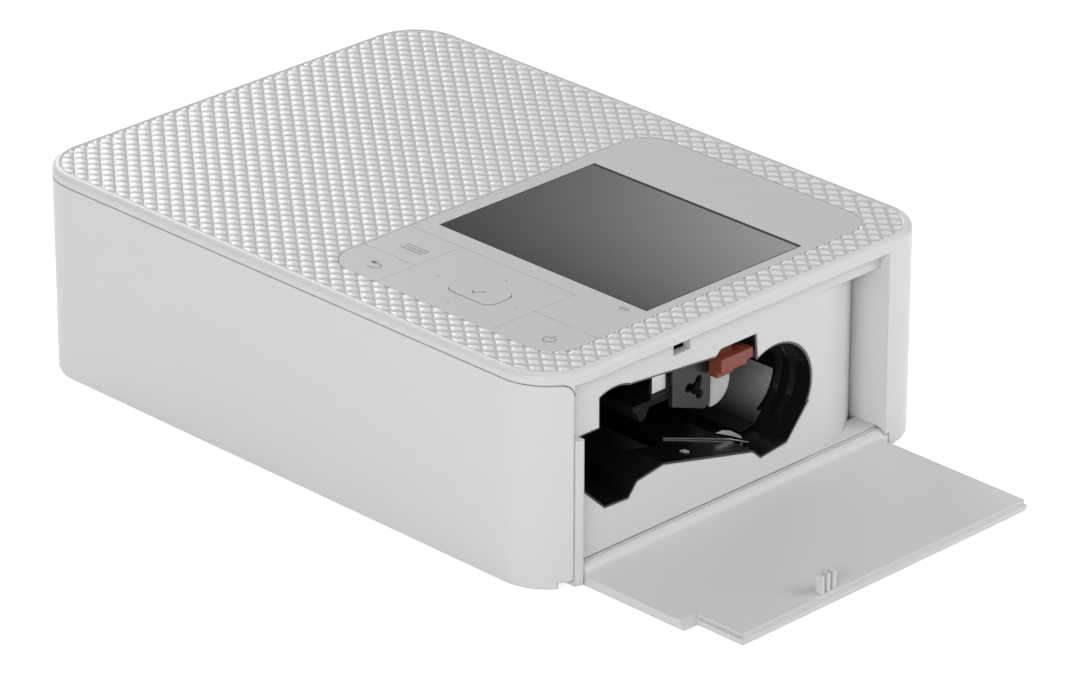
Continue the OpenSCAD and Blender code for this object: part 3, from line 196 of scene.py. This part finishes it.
def circuitBoard(name):
    # green solder mask with slightly raised copper tracks and tinned pads
    material, start, where = newMaterial(name)
    tracks = start.add("ShaderNodeTexBrick", {"offset": 0.5, "squash": 0.6},
                       {"Vector": where, "Scale": 160.0, "Mortar Size": 0.06, "Mortar Smooth": 0.1}, output=1)
    pads = start.add("ShaderNodeTexVoronoi", {"feature": "F1"}, {"Vector": where, "Scale": 260.0})
    padMask = 1 - pads.between(0.16, 0.2)
    mask = mixColour(start, tracks, rgb(1.0, (0.012, 0.075, 0.035)), rgb(1.0, (0.03, 0.16, 0.07)))
    colour = mixColour(start, padMask, mask, rgb(1.0, (0.62, 0.60, 0.52)))
    finishMaterial(start, {}, {"Base Color": colour, "Roughness": (0.38 - padMask * 0.12).clamped(),
                               "Metallic": padMask * 0.8}, (tracks + padMask, 0.3, 0.00004))
    return material


# two heights in millimetres: the foil's painted shade is full below the first and gone above the second
tray = dict(left=147.0, width=21.5, wall=0.2, paintedShadeFull=12.5, paintedShadeClear=22.5,
            path=((79.0, 12.3), (84.0, 12.8), (90.4, 20.6), (91.8, 24.6)), brushed=(1400.0, 25.0, 1400.0))


def trayMetal(name):
    # brushed foil with painted shade: dark at the bottom and painted lighter towards its upper edge
    material, start, where = newMaterial(name)
    parts = start.add("ShaderNodeSeparateXYZ", None, {"Vector": where})
    height = parts.beside("Z")
    lines = noise(start, stretch(start, where, tray["brushed"]), 1.0, detail=4.0, roughness=0.6)
    # painted shade: the colour rises from dark to light between the two heights
    paintedShadeClear = height.between(place(0, 0, tray["paintedShadeFull"]).z, place(0, 0, tray["paintedShadeClear"]).z)
    tone = (paintedShadeClear * 0.75 + 0.03) * (lines * 0.5 + 0.75)
    colour = mixColour(start, tone.clamped(), rgb(0.0), rgb(1.0))
    rough = (0.42 + (lines - 0.5) * 0.2).clamped(0.05, 1.0)
    finishMaterial(start, {"Metallic": 0.5}, {"Base Color": colour, "Roughness": rough},
                   (lines, 0.12, 0.00005))
    return material


# heights in millimetres between which the colour goes from the valleys' painted shade to the crowns' painted
# highlight
relief = dict(low=55.30, high=55.54, paintedValleyShade=0.54, paintedCrownHighlight=0.78, roughness=0.27)


def reliefPlastic(name):
    # the colour is painted darker in the valleys of the relief as painted shade and lighter on the crowns as a
    # painted highlight
    material, start, where = newMaterial(name)
    parts = start.add("ShaderNodeSeparateXYZ", None, {"Vector": where})
    height = parts.beside("Z")
    grain = noise(start, where, 2200.0, detail=2.0, roughness=0.5)
    # up runs from 0 in the valleys to 1 on the crowns and carries the painted shade and painted highlight
    up = (height - place(0, 0, relief["low"]).z) / ((relief["high"] - relief["low"]) * mm)
    colour = mixColour(start, up.clamped(), rgb(relief["paintedValleyShade"]), rgb(relief["paintedCrownHighlight"]))
    rough = ((grain - 0.5) * 0.04 + relief["roughness"]).clamped()
    finishMaterial(start, {"IOR": 1.46}, {"Base Color": colour, "Roughness": rough},
                   (grain, 0.2, 0.000003))
    return material


# backShadeBand and backShadeFade place the band of painted shade along the far side; border is the colour of
# that painted shade and of the black hairline
glass = dict(darkest=0.035, backShadeBand=0.9, backShadeFade=0.2, hairline=0.25, lineFade=0.15, border=0.03)


def screenGlass(name, low, high):
    # smoked window over a dark display: a black surround, a band of painted shade along the far side and a
    # soft grey painted sheen across the viewing area
    material, start, where = newMaterial(name)
    parts = start.add("ShaderNodeSeparateXYZ", None, {"Vector": where})
    across, along = parts.beside("X"), parts.beside("Y")
    u = ((across - low.x) / (high.x - low.x)).clamped()
    v = ((along - low.y) / (high.y - low.y)).clamped()
    # painted sheen: the window's reflection painted as a grey gradient that rises towards the back and the
    # right side
    paintedSheen = u * 0.05 + v * 0.10 + u * v * 0.16 + glass["darkest"]
    grain = noise(start, where, 900.0, detail=2.0, roughness=0.5)
    view = mixColour(start, paintedSheen.clamped(), rgb(0.0), rgb(1.0))
    # along the far side a wider dark band is painted shade; on the other sides a hairline is the black
    # surround
    back = (high.y - along).between(glass["backShadeBand"] * mm, (glass["backShadeBand"] + glass["backShadeFade"]) * mm)
    rim = start.maths("MINIMUM", start.maths("MINIMUM", across - low.x, high.x - across), along - low.y)
    line = rim.between(glass["hairline"] * mm, (glass["hairline"] + glass["lineFade"]) * mm)
    inside = back * (line * 0.6 + 0.4)
    colour = mixColour(start, inside, rgb(glass["border"]), view)
    finishMaterial(start, {"IOR": 1.45, "Specular IOR Level": 0.35},
                   {"Base Color": colour, "Roughness": (0.16 + (grain - 0.5) * 0.04).clamped()})
    return material


def printedInk(name, tone):
    # screen printing with a faint speckle
    material, start, where = newMaterial(name)
    grain = noise(start, where, 3000.0, detail=2.0, roughness=0.5)
    colour = mixColour(start, grain, rgb(tone * 0.9), rgb(tone * 1.1))
    finishMaterial(start, {}, {"Base Color": colour, "Roughness": (0.5 + grain * 0.1).clamped()},
                   (grain, 0.1, 0.00001))
    return material


print("materials")
# moulded plastic: tone, tint, roughness, grain scale and grain depth in metres
# sheet metal: tone, tint, roughness and the scale of its scratches
finish = {
    "case": mouldedPlastic("casePlastic", 0.72, (1.0, 1.0, 1.0), 0.42, 2600.0, 0.00003,
                           shade=0.015, edge=0.0005),
    "field": reliefPlastic("diamondPlastic"),
    "panel": mouldedPlastic("panelPlastic", 0.565, (1.0, 1.0, 1.0), 0.36, 3200.0, 0.00001,
                            shade=0.012, edge=0.00005),
    "liner": mouldedPlastic("glossyBlack", 0.008, (1.0, 1.0, 1.02), 0.16, 1500.0, 0.00002,
                            coat=0.5, shade=0.2),
    "dark": mouldedPlastic("darkPlastic", 0.016, (1.0, 1.0, 1.03), 0.36, 1800.0, 0.00003,
                           shade=0.15, edge=0.0003),
    "ivory": mouldedPlastic("ivoryPlastic", 0.62, (1.0, 0.96, 0.86), 0.38, 1600.0, 0.00003, shade=0.05),
    "matt": mouldedPlastic("mattBlack", 0.004, (1.0, 1.0, 1.0), 0.75, 1500.0, 0.00002, shade=0.2),
    "catch": mouldedPlastic("catchPlastic", 0.50, (1.0, 1.0, 0.99), 0.38, 1600.0, 0.00003, shade=0.05),
    "orange": mouldedPlastic("leverPlastic", 0.23, (1.0, 0.20, 0.11), 0.40, 1800.0, 0.00003,
                             shade=0.06, edge=0.0003),
    "steel": sheetMetal("sheetSteel", 0.58, (1.0, 1.0, 1.01), 0.34),
    "wire": sheetMetal("springWire", 0.62, (1.0, 1.0, 1.01), 0.28, (60.0, 60.0, 1500.0)),
    "foil": trayMetal("trayFoil"),
    "sink": sheetMetal("blackenedAluminium", 0.05, (0.98, 1.0, 1.03), 0.50, (40.0, 900.0, 900.0)),
    "brass": sheetMetal("turnedBrass", 0.62, (1.0, 0.78, 0.42), 0.30, (900.0, 60.0, 60.0)),
    "roller": rollerRubber("rollerRubber", 0.016),
    "foot": rollerRubber("footRubber", 0.05),
    "board": circuitBoard("circuitBoard"),
    "lens": mouldedPlastic("lightGuide", 0.60, (0.96, 1.0, 1.0), 0.15, 900.0, 0.00001, shade=0.02),
    "cable": mouldedPlastic("flatCable", 0.62, (1.0, 1.0, 0.97), 0.35, 800.0, 0.00002, shade=0.04),
    "ink": printedInk("keyPrint", 0.33),
    "screen": screenGlass("smokedWindow", *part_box("screen_window")),
}

# which nodes of the model wear each finish
wears = {
    "case": ["upper_case", "base_shell", "front_frame", "side_frame", "front_cover", "ink_cover"],
    "panel": ["control_panel", "menu_key", "back_key", "power_key", "ok_key", "direction_pad"],
    "screen": ["screen_window"],
    "liner": ["compartment_liner", "lower_guide", "rear_guide"],
    "matt": ["thermal_head"],
    "dark": ["pad_pivot", "pinch_holders", "head_arm", "dc_jack"],
    "ivory": ["shaft_bushes", "grip_gear", "take_up_spindle", "take_up_gear", "supply_spindle"],
    "orange": ["release_lever"],
    "steel": ["case_screws", "lcd_module", "key_switches", "left_plate", "right_plate", "gear_plate",
              "cross_braces", "chassis_screws", "platen_shaft", "grip_roller", "pickup_shaft", "head_shaft",
              "ribbon_motor", "feed_motor", "board_screws", "card_socket", "usb_socket"],
    "wire": ["pinch_springs", "head_springs", "brake_spring", "lever_spring"],
    "sink": ["heat_sink"],
    "brass": ["ribbon_pinion", "feed_pinion"],
    "roller": ["platen_roller", "pinch_roller", "pickup_roller"],
    "foot": ["rubber_feet"],
    "board": ["panel_board", "main_board", "power_board"],
    "lens": ["status_light"],
    "cable": ["panel_cable"],
}
for key, names in wears.items():
    for name in names:
        mesh = nodes[name].data
        mesh.materials.clear()
        mesh.materials.append(finish[key])


# mesh helpers

def onlyVerts(grown):
    return [part for part in grown if isinstance(part, bmesh.types.BMVert)]


def turnsBetween(start, end, steps):
    return [math.radians(start + (end - start) * k / steps) for k in range(steps + 1)]


def turned(cx, cy, radius, turns):
    return [(cx + radius * math.cos(t), cy + radius * math.sin(t)) for t in turns]


def arc(cx, cy, radius, start, end, stroke, steps=20):
    # a closed outline: the outer curve and back along the inner one
    turns = turnsBetween(start, end, steps)
    return turned(cx, cy, radius + stroke / 2, turns) + turned(cx, cy, radius - stroke / 2, turns)[::-1]


def newPiece(name, bm, material, body, smooth=None):
    mesh = bpy.data.meshes.new(name)
    bm.to_mesh(mesh)
    bm.free()
    piece = bpy.data.objects.new(name, mesh)
    bpy.context.scene.collection.objects.link(piece)
    mesh.materials.append(material)
    if smooth:
        mesh.shade_smooth()
        mesh.set_sharp_from_angle(angle=math.radians(smooth))
    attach(piece, body)
    return piece


def plate(name, outline, thickness, material, body, across="Z", edge=0.0, smooth=40):
    # a flat piece: an outline of case points, given thickness along one axis (millimetres) and bevelled
    bm = bmesh.new()
    face = bm.faces.new([bm.verts.new(place(*point)) for point in outline])
    grown = bmesh.ops.extrude_face_region(bm, geom=[face])["geom"]
    axes = {"X": Vector((1, 0, 0)), "Y": Vector((0, 1, 0)), "Z": Vector((0, 0, 1))}
    step = axes[across] * thickness * mm
    bmesh.ops.translate(bm, vec=step, verts=onlyVerts(grown))
    bmesh.ops.recalc_face_normals(bm, faces=bm.faces)
    if edge:
        bmesh.ops.bevel(bm, geom=bm.edges[:], offset=edge * mm, offset_type="OFFSET", segments=2, profile=0.5,
                        affect="EDGES", clamp_overlap=True, material=-1)
    return newPiece(name, bm, material, body, smooth=smooth)


def ribbon(name, path, width, thickness, material, body, smooth=40):
    # a strip of sheet: a path of case points swept along X by its width, then given a wall
    bm = bmesh.new()
    verts = [bm.verts.new(place(*point)) for point in path]
    edges = [bm.edges.new(pair) for pair in zip(verts, verts[1:])]
    grown = bmesh.ops.extrude_edge_only(bm, edges=edges)["geom"]
    bmesh.ops.translate(bm, vec=(width * mm, 0, 0), verts=onlyVerts(grown))
    bmesh.ops.recalc_face_normals(bm, faces=bm.faces)
    bmesh.ops.solidify(bm, geom=bm.faces[:], thickness=thickness * mm)
    bmesh.ops.recalc_face_normals(bm, faces=bm.faces)
    return newPiece(name, bm, material, body, smooth=smooth)


# diamond pattern on top

def roundedLoop(bm, x0, y0, x1, y1, radius, z, steps=10):
    # one closed loop of edges round a rounded rectangle, in case millimetres
    corners = [(x1 - radius, y0 + radius, -90), (x1 - radius, y1 - radius, 0),
               (x0 + radius, y1 - radius, 90), (x0 + radius, y0 + radius, 180)]
    verts = []
    for cx, cy, start in corners:
        quarter = turned(cx, cy, radius, turnsBetween(start, start + 90, steps))
        verts += [bm.verts.new(place(x, y, z)) for x, y in quarter]
    return [bm.edges.new((verts[k], verts[(k + 1) % len(verts)])) for k in range(len(verts))]


diamond = dict(halfLong=2.56, halfShort=2.11, cells=68, spare=4,
               steps=((0.12, 0.0), (0.45, 0.17), (0.45, 0.12)), crown=0.06, valley=55.21, skirt=3,
               rim=1.9, corner=12.6, panelGap=0.12, panelCorner=8.62, trimLow=0.01, trimHeight=2,
               border=0.8, borderTop=0.12, borderFoot=0.09, borderWall=0.1)


def makeDiamonds():
    # a field of pillowed diamonds: each cell is inset and lifted in steps, then its middle is raised
    d = diamond
    case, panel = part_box("upper_case"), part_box("control_panel")
    width, depth = measured(case[1])[:2]
    bm = bmesh.new()
    # unit cells sheared onto the diamond lattice
    n = d["cells"]
    shear = Matrix(((d["halfLong"] * n * mm, d["halfLong"] * n * mm, 0, 0),
                    (d["halfShort"] * n * mm, -d["halfShort"] * n * mm, 0, 0),
                    (0, 0, 1, 0), (0, 0, 0, 1)))
    bmesh.ops.create_grid(bm, x_segments=n, y_segments=n, size=0.5,
                          matrix=Matrix.Translation(place(width / 2, depth / 2, d["valley"])) @ shear)
    low, high = place(-d["spare"], -d["spare"], 0), place(width + d["spare"], depth + d["spare"], 0)
    middles = {face: face.calc_center_median() for face in bm.faces}
    outside = [face for face, middle in middles.items()
               if not (low.x < middle.x < high.x and low.y < middle.y < high.y)]
    bmesh.ops.delete(bm, geom=outside, context="FACES")
    bmesh.ops.recalc_face_normals(bm, faces=bm.faces)
    if bm.faces[:][0].normal.z < 0:
        bmesh.ops.reverse_faces(bm, faces=bm.faces)
    # a skirt and a floor close the sheet, so that the trim has a solid to cut
    border = [edge for edge in bm.edges if edge.is_boundary]
    cells = bm.faces[:]
    skirt = bmesh.ops.extrude_edge_only(bm, edges=border)["geom"]
    bmesh.ops.translate(bm, vec=(0, 0, -d["skirt"] * mm), verts=onlyVerts(skirt))
    bmesh.ops.holes_fill(bm, edges=[edge for edge in bm.edges if edge.is_boundary])
    for inset, rise in d["steps"]:
        bmesh.ops.inset_individual(bm, faces=cells, thickness=inset * mm, depth=rise * mm)
    bmesh.ops.poke(bm, faces=cells, offset=d["crown"] * mm)
    bmesh.ops.recalc_face_normals(bm, faces=bm.faces)
    piece = newPiece("diamond_top", bm, finish["field"], "case", smooth=60)

    # the field is cut along the rim outside and round the control panel inside
    ring = bmesh.new()
    z = d["valley"] - d["trimLow"]
    outer = roundedLoop(ring, d["rim"], d["rim"], width - d["rim"], depth - d["rim"], d["corner"], z)
    gap = d["panelGap"]
    (x0, y0), (x1, y1) = measured(panel[0])[:2], measured(panel[1])[:2]
    inner = roundedLoop(ring, x0 - gap, y0 - gap, x1 + gap, y1 + gap, d["panelCorner"], z)
    bmesh.ops.bridge_loops(ring, edges=outer + inner)
    raised = bmesh.ops.extrude_face_region(ring, geom=ring.faces[:])["geom"]
    bmesh.ops.translate(ring, vec=(0, 0, d["trimHeight"] * mm), verts=onlyVerts(raised))
    bmesh.ops.recalc_face_normals(ring, faces=ring.faces)
    mesh = bpy.data.meshes.new("diamond_border")
    ring.to_mesh(mesh)
    ring.free()
    cutter = bpy.data.objects.new("diamond_border", mesh)
    bpy.context.scene.collection.objects.link(cutter)
    trim = piece.modifiers.new("border", "BOOLEAN")
    trim.operation = "INTERSECT"
    trim.object = cutter
    bpy.context.view_layer.update()
    trimmed = bpy.data.meshes.new_from_object(piece.evaluated_get(bpy.context.evaluated_depsgraph_get()))
    piece.modifiers.clear()
    piece.data = trimmed
    bpy.data.objects.remove(cutter)


def makeFieldBorder():
    # a slope leads from the rim down to the diamonds
    d = diamond
    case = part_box("upper_case")
    width, depth, top = measured(case[1])
    bm = bmesh.new()
    outer = roundedLoop(bm, d["rim"], d["rim"], width - d["rim"], depth - d["rim"], d["corner"],
                        top - d["borderTop"])
    inset = d["rim"] + d["border"]
    inner = roundedLoop(bm, inset, inset, width - inset, depth - inset, d["corner"] - d["border"],
                        d["valley"] - d["borderFoot"])
    bmesh.ops.bridge_loops(bm, edges=outer + inner)
    bmesh.ops.recalc_face_normals(bm, faces=bm.faces)
    bmesh.ops.solidify(bm, geom=bm.faces[:], thickness=d["borderWall"] * mm)
    bmesh.ops.recalc_face_normals(bm, faces=bm.faces)
    newPiece("field_border", bm, finish["case"], "case", smooth=30)


print("diamond pattern")
makeDiamonds()
makeFieldBorder()


# key gaps and prints

keyRow = dict(gapDepth=0.03, gapSlit=0.06, webWall=0.2, powerWeb=0.22, rowWeb=0.2,
              printLift=0.02, printHeight=0.03, stroke=0.42, dot=0.26)


def gapStrips():
    # the keys' rubber web, seen at the bottom of the narrow gaps between them
    d = keyRow
    panel, pad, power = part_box("control_panel"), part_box("direction_pad"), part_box("power_key")
    menu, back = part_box("menu_key"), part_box("back_key")
    z = min(measured(panel[1])[2], measured(pad[1])[2]) - d["gapDepth"] - d["webWall"]
    lowMenu, highMenu = measured(menu[0]), measured(menu[1])
    highBack = measured(back[1])
    lowPad, highPad = measured(pad[0]), measured(pad[1])
    lowPower, highPower = measured(power[0]), measured(power[1])
    gaps = {
        "web_side_keys": (lowMenu[0], highBack[1], highMenu[0], lowMenu[1]),
        "web_pad_left": (highMenu[0], lowPad[1], lowPad[0], highPad[1]),
        "web_pad_right": (highPad[0], lowPad[1], lowPower[0], highPad[1]),
        "web_power": (lowPower[0], highPower[1], highPower[0], highPower[1] + d["powerWeb"]),
        "web_row": (lowMenu[0], highPad[1], highPad[0], highPad[1] + d["rowWeb"]),
    }
    for name, (x0, y0, x1, y1) in gaps.items():
        x0, y0, x1, y1 = x0 + d["gapSlit"], y0 + d["gapSlit"], x1 - d["gapSlit"], y1 - d["gapSlit"]
        if x1 > x0 and y1 > y0:
            plate(name, [(x0, y0, z), (x1, y0, z), (x1, y1, z), (x0, y1, z)], d["webWall"],
                  finish["panel"], "case")


def printed(name, shapes, height, body):
    # thin raised ink: each shape is a closed outline of (x, y) in case millimetres
    bm = bmesh.new()
    for outline in shapes:
        face = bm.faces.new([bm.verts.new(place(x, y, height + keyRow["printLift"])) for x, y in outline])
        grown = bmesh.ops.extrude_face_region(bm, geom=[face])["geom"]
        bmesh.ops.translate(bm, vec=(0, 0, keyRow["printHeight"] * mm), verts=onlyVerts(grown))
    bmesh.ops.recalc_face_normals(bm, faces=bm.faces)
    newPiece(name, bm, finish["ink"], body)


def bar(x0, y0, x1, y1, stroke):
    # a line between two points, as a closed outline
    along = Vector((x1 - x0, y1 - y0))
    side = Vector((-along.y, along.x)).normalized() * stroke / 2
    return [(x0 - side.x, y0 - side.y), (x1 - side.x, y1 - side.y),
            (x1 + side.x, y1 + side.y), (x0 + side.x, y0 + side.y)]


def disc(cx, cy, radius, steps=16):
    return turned(cx, cy, radius, [2 * math.pi * k / steps for k in range(steps)])


# plain signs: three lines, a returning arrow, a power sign, a tick, four dots and two waves
# each lies on top of a node and rides on a body; an arc is a middle, a radius and two angles
signs = {
    "menu_print": dict(on="menu_key", body="menu_key",
                       lines=((101.9, 30.35, 109.1, 30.35), (101.9, 31.5, 109.1, 31.5),
                              (101.9, 32.65, 109.1, 32.65))),
    "back_print": dict(on="back_key", body="back_key", arcs=((106.0, 18.2, 1.25, -90, 90),),
                       lines=((103.4, 19.45, 106.0, 19.45), (104.2, 16.95, 106.0, 16.95)),
                       tips=(((103.3, 19.45), (104.7, 20.5), (104.7, 18.4)),)),
    "power_print": dict(on="power_key", body="power_key", arcs=((164.0, 18.6, 1.55, 125, 415),),
                        lines=((164.0, 18.7, 164.0, 20.9),)),
    "centre_print": dict(on="ok_key", body="ok_key",
                         lines=((132.2, 24.9, 133.2, 23.9), (133.05, 23.9, 135.3, 26.3))),
    "pad_marks": dict(on="direction_pad", body="pad",
                      dots=((133.8, 34.4), (132.9, 16.0), (146.3, 25.4), (120.6, 24.8))),
    "status_print": dict(on="control_panel", body="case", stroke=0.3,
                         arcs=((164.5, 41.3, 1.5, 40, 140), (164.5, 41.3, 2.2, 45, 135))),
}


def keyPrints():
    for name, sign in signs.items():
        stroke = sign.get("stroke", keyRow["stroke"])
        shapes = [arc(*curve, stroke) for curve in sign.get("arcs", ())]
        shapes += [bar(*line, stroke) for line in sign.get("lines", ())]
        shapes += [disc(*dot, keyRow["dot"]) for dot in sign.get("dots", ())]
        shapes += sign.get("tips", ())
        printed(name, shapes, measured(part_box(sign["on"])[1])[2], sign["body"])


print("key prints")
gapStrips()
keyPrints()


# inside the ink compartment

print("ink compartment")
# a light guard plate with a rounded lower corner beside the head's cheek
guard = dict(x=172.7, thickness=0.9, front=63.0, back=69.6, low=26.2, high=37.3, radius=5.8, edge=0.15)


def makeGuard():
    d = guard
    corner = turned(d["back"] - d["radius"], d["low"] + d["radius"], d["radius"], turnsBetween(-90, 0, 10))
    outline = [(d["front"], d["high"]), (d["front"], d["low"])] + corner + [(d["back"], d["high"])]
    plate("head_guard", [(d["x"], y, z) for y, z in outline], d["thickness"], finish["catch"],
          "head", "X", d["edge"])


makeGuard()
# a curved bead on the cover's hinge bar narrows the gap to the frame
hingeStrip = dict(axisX=179.8, axisZ=2.4, inner=2.47, outer=2.58, start=84, end=150, front=12.8, back=115.6)


def makeHingeStrip():
    d = hingeStrip
    turns = turnsBetween(d["start"], d["end"], 12)
    section = (turned(d["axisX"], d["axisZ"], d["outer"], turns)
               + turned(d["axisX"], d["axisZ"], d["inner"], turns)[::-1])
    plate("hinge_strip", [(x, d["front"], z) for x, z in section], d["back"] - d["front"], finish["case"],
          "ink_cover", "Y")


makeHingeStrip()
# a thin metal tray lies on the floor of the supply lobe
ribbon("supply_tray", [(tray["left"], y, z) for y, z in tray["path"]], tray["width"], tray["wall"],
       finish["foil"], "case")
# a bright rail and a pale sliver of a blade cross the floor, with a sensor window in front of them
rail = dict(path=((165.0, 55.8, 17.7), (171.0, 72.5, 13.85), (172.6, 77.4, 11.9)), width=0.35, wall=0.25)
blade = dict(x=170.0, wall=0.25,
             outline=((68.7, 16.2), (71.0, 16.2), (74.0, 15.0), (77.4, 12.6), (78.0, 11.6), (73.6, 13.9)))
sensor = dict(wall=0.35,
              outline=((173.5, 52.9, 17.9), (174.9, 52.9, 17.9), (174.9, 54.8, 17.5), (173.5, 54.8, 17.5)))
ribbon("floor_rail", rail["path"], rail["width"], rail["wall"], finish["steel"], "case")
plate("floor_blade", [(blade["x"], y, z) for y, z in blade["outline"]], blade["wall"], finish["steel"],
      "case", "X")
plate("sensor_window", sensor["outline"], sensor["wall"], finish["lens"], "case")


# floor, light and camera

# angles in degrees, lengths in millimetres, and the nearest and farthest seen in metres
viewPoint = dict(azimuth=45.155, elevation=25.046, roll=0.137, distance=1465.26,
                 target=(120.365, 58.986, 28.0), lens=201.48, film=36, near=0.05, far=20)


def makeCamera():
    turn, rise = math.radians(viewPoint["azimuth"]), math.radians(viewPoint["elevation"])
    outwards = Vector((math.sin(turn) * math.cos(rise), -math.cos(turn) * math.cos(rise), math.sin(rise)))
    right = outwards.cross(Vector((0, 0, -1))).normalized()
    up = outwards.cross(right)
    roll = math.radians(viewPoint["roll"])
    side = right * math.cos(roll) + up * math.sin(roll)
    top = up * math.cos(roll) - right * math.sin(roll)
    eye = place(*viewPoint["target"]) + outwards * viewPoint["distance"] * mm
    data = bpy.data.cameras.new("camera")
    data.sensor_width = viewPoint["film"]
    data.lens = viewPoint["lens"]
    data.clip_start, data.clip_end = viewPoint["near"], viewPoint["far"]
    camera = bpy.data.objects.new("camera", data)
    camera.matrix_world = Matrix((side, top, outwards)).transposed().to_4x4()
    camera.location = eye
    bpy.context.scene.collection.objects.link(camera)
    bpy.context.scene.camera = camera


paper = dict(reach=4.0, tone=0.93, roughness=0.4, glow=0.72)


def makeFloor():
    bm = bmesh.new()
    bmesh.ops.create_grid(bm, x_segments=4, y_segments=4, size=paper["reach"])
    mesh = bpy.data.meshes.new("floor")
    bm.to_mesh(mesh)
    bm.free()
    floor = bpy.data.objects.new("floor", mesh)
    bpy.context.scene.collection.objects.link(floor)
    material, start = newMaterial("floorPaper")[:2]
    # it glows for the lens and for reflections only, and lights nothing itself
    shade = start.add("ShaderNodeBsdfDiffuse", None,
                      {"Color": rgb(paper["tone"]), "Roughness": paper["roughness"]})
    bright = start.add("ShaderNodeEmission", None, {"Color": rgb(1.0), "Strength": paper["glow"]})
    both = start.add("ShaderNodeAddShader", None, {0: shade, 1: bright})
    rays = start.add("ShaderNodeLightPath")
    seen = rays.maths("MAXIMUM", rays, rays.beside("Is Glossy Ray"))
    choose = start.add("ShaderNodeMixShader", None, {0: seen, 1: shade, 2: both})
    start.add("ShaderNodeOutputMaterial", None, {"Surface": choose})
    mesh.materials.append(material)


def softBox(name, power, size, position, aim):
    data = bpy.data.lights.new(name, "AREA")
    data.shape = "RECTANGLE"
    data.size, data.size_y = size
    data.energy = power
    lamp = bpy.data.objects.new(name, data)
    lamp.location = position
    lamp.rotation_euler = (Vector(aim) - Vector(position)).to_track_quat("-Z", "Y").to_euler()
    bpy.context.scene.collection.objects.link(lamp)


# each lamp: power in watts, size, place and aim in metres
lamps = {
    "keyLight": (5.8, (0.6, 0.6), (-1.08, 0.30, 0.75), (0, 0, 0.03)),
    "frontLight": (7.3, (0.6, 0.6), (0.62, -1.18, 0.50), (0.02, 0, 0.03)),
    "glintLight": (2.7, (0.4, 0.6), (-1.28, 0.74, 0.67), (-0.03, 0, 0.05)),
    "sideLight": (1.7, (0.4, 0.4), (0.55, 0.42, 0.42), (0.06, 0.02, 0.03)),
    "topLight": (2.4, (0.9, 0.9), (0.1, 0.1, 1.40), (0, 0, 0.03)),
}


studio = dict(fill=0.34, backdrop=1.0)


def makeStudio():
    # white behind the object, and a dimmer fill that lights it
    world = bpy.data.worlds.new("studio")
    world.use_nodes = True
    tree = world.node_tree
    tree.nodes.clear()
    start = Signal(tree)
    rays = start.add("ShaderNodeLightPath")
    direct = rays.maths("MAXIMUM", rays, rays.beside("Is Transmission Ray"))
    fill = start.add("ShaderNodeBackground", None, {"Color": rgb(1.0), "Strength": studio["fill"]})
    white = start.add("ShaderNodeBackground", None, {"Color": rgb(1.0), "Strength": studio["backdrop"]})
    choose = start.add("ShaderNodeMixShader", None, {0: direct, 1: fill, 2: white})
    start.add("ShaderNodeOutputWorld", None, {"Surface": choose})
    bpy.context.scene.world = world
    for name, settings in lamps.items():
        softBox(name, *settings)


print("studio")
makeCamera()
makeFloor()
makeStudio()
bpy.context.scene.view_settings.view_transform = "Standard"
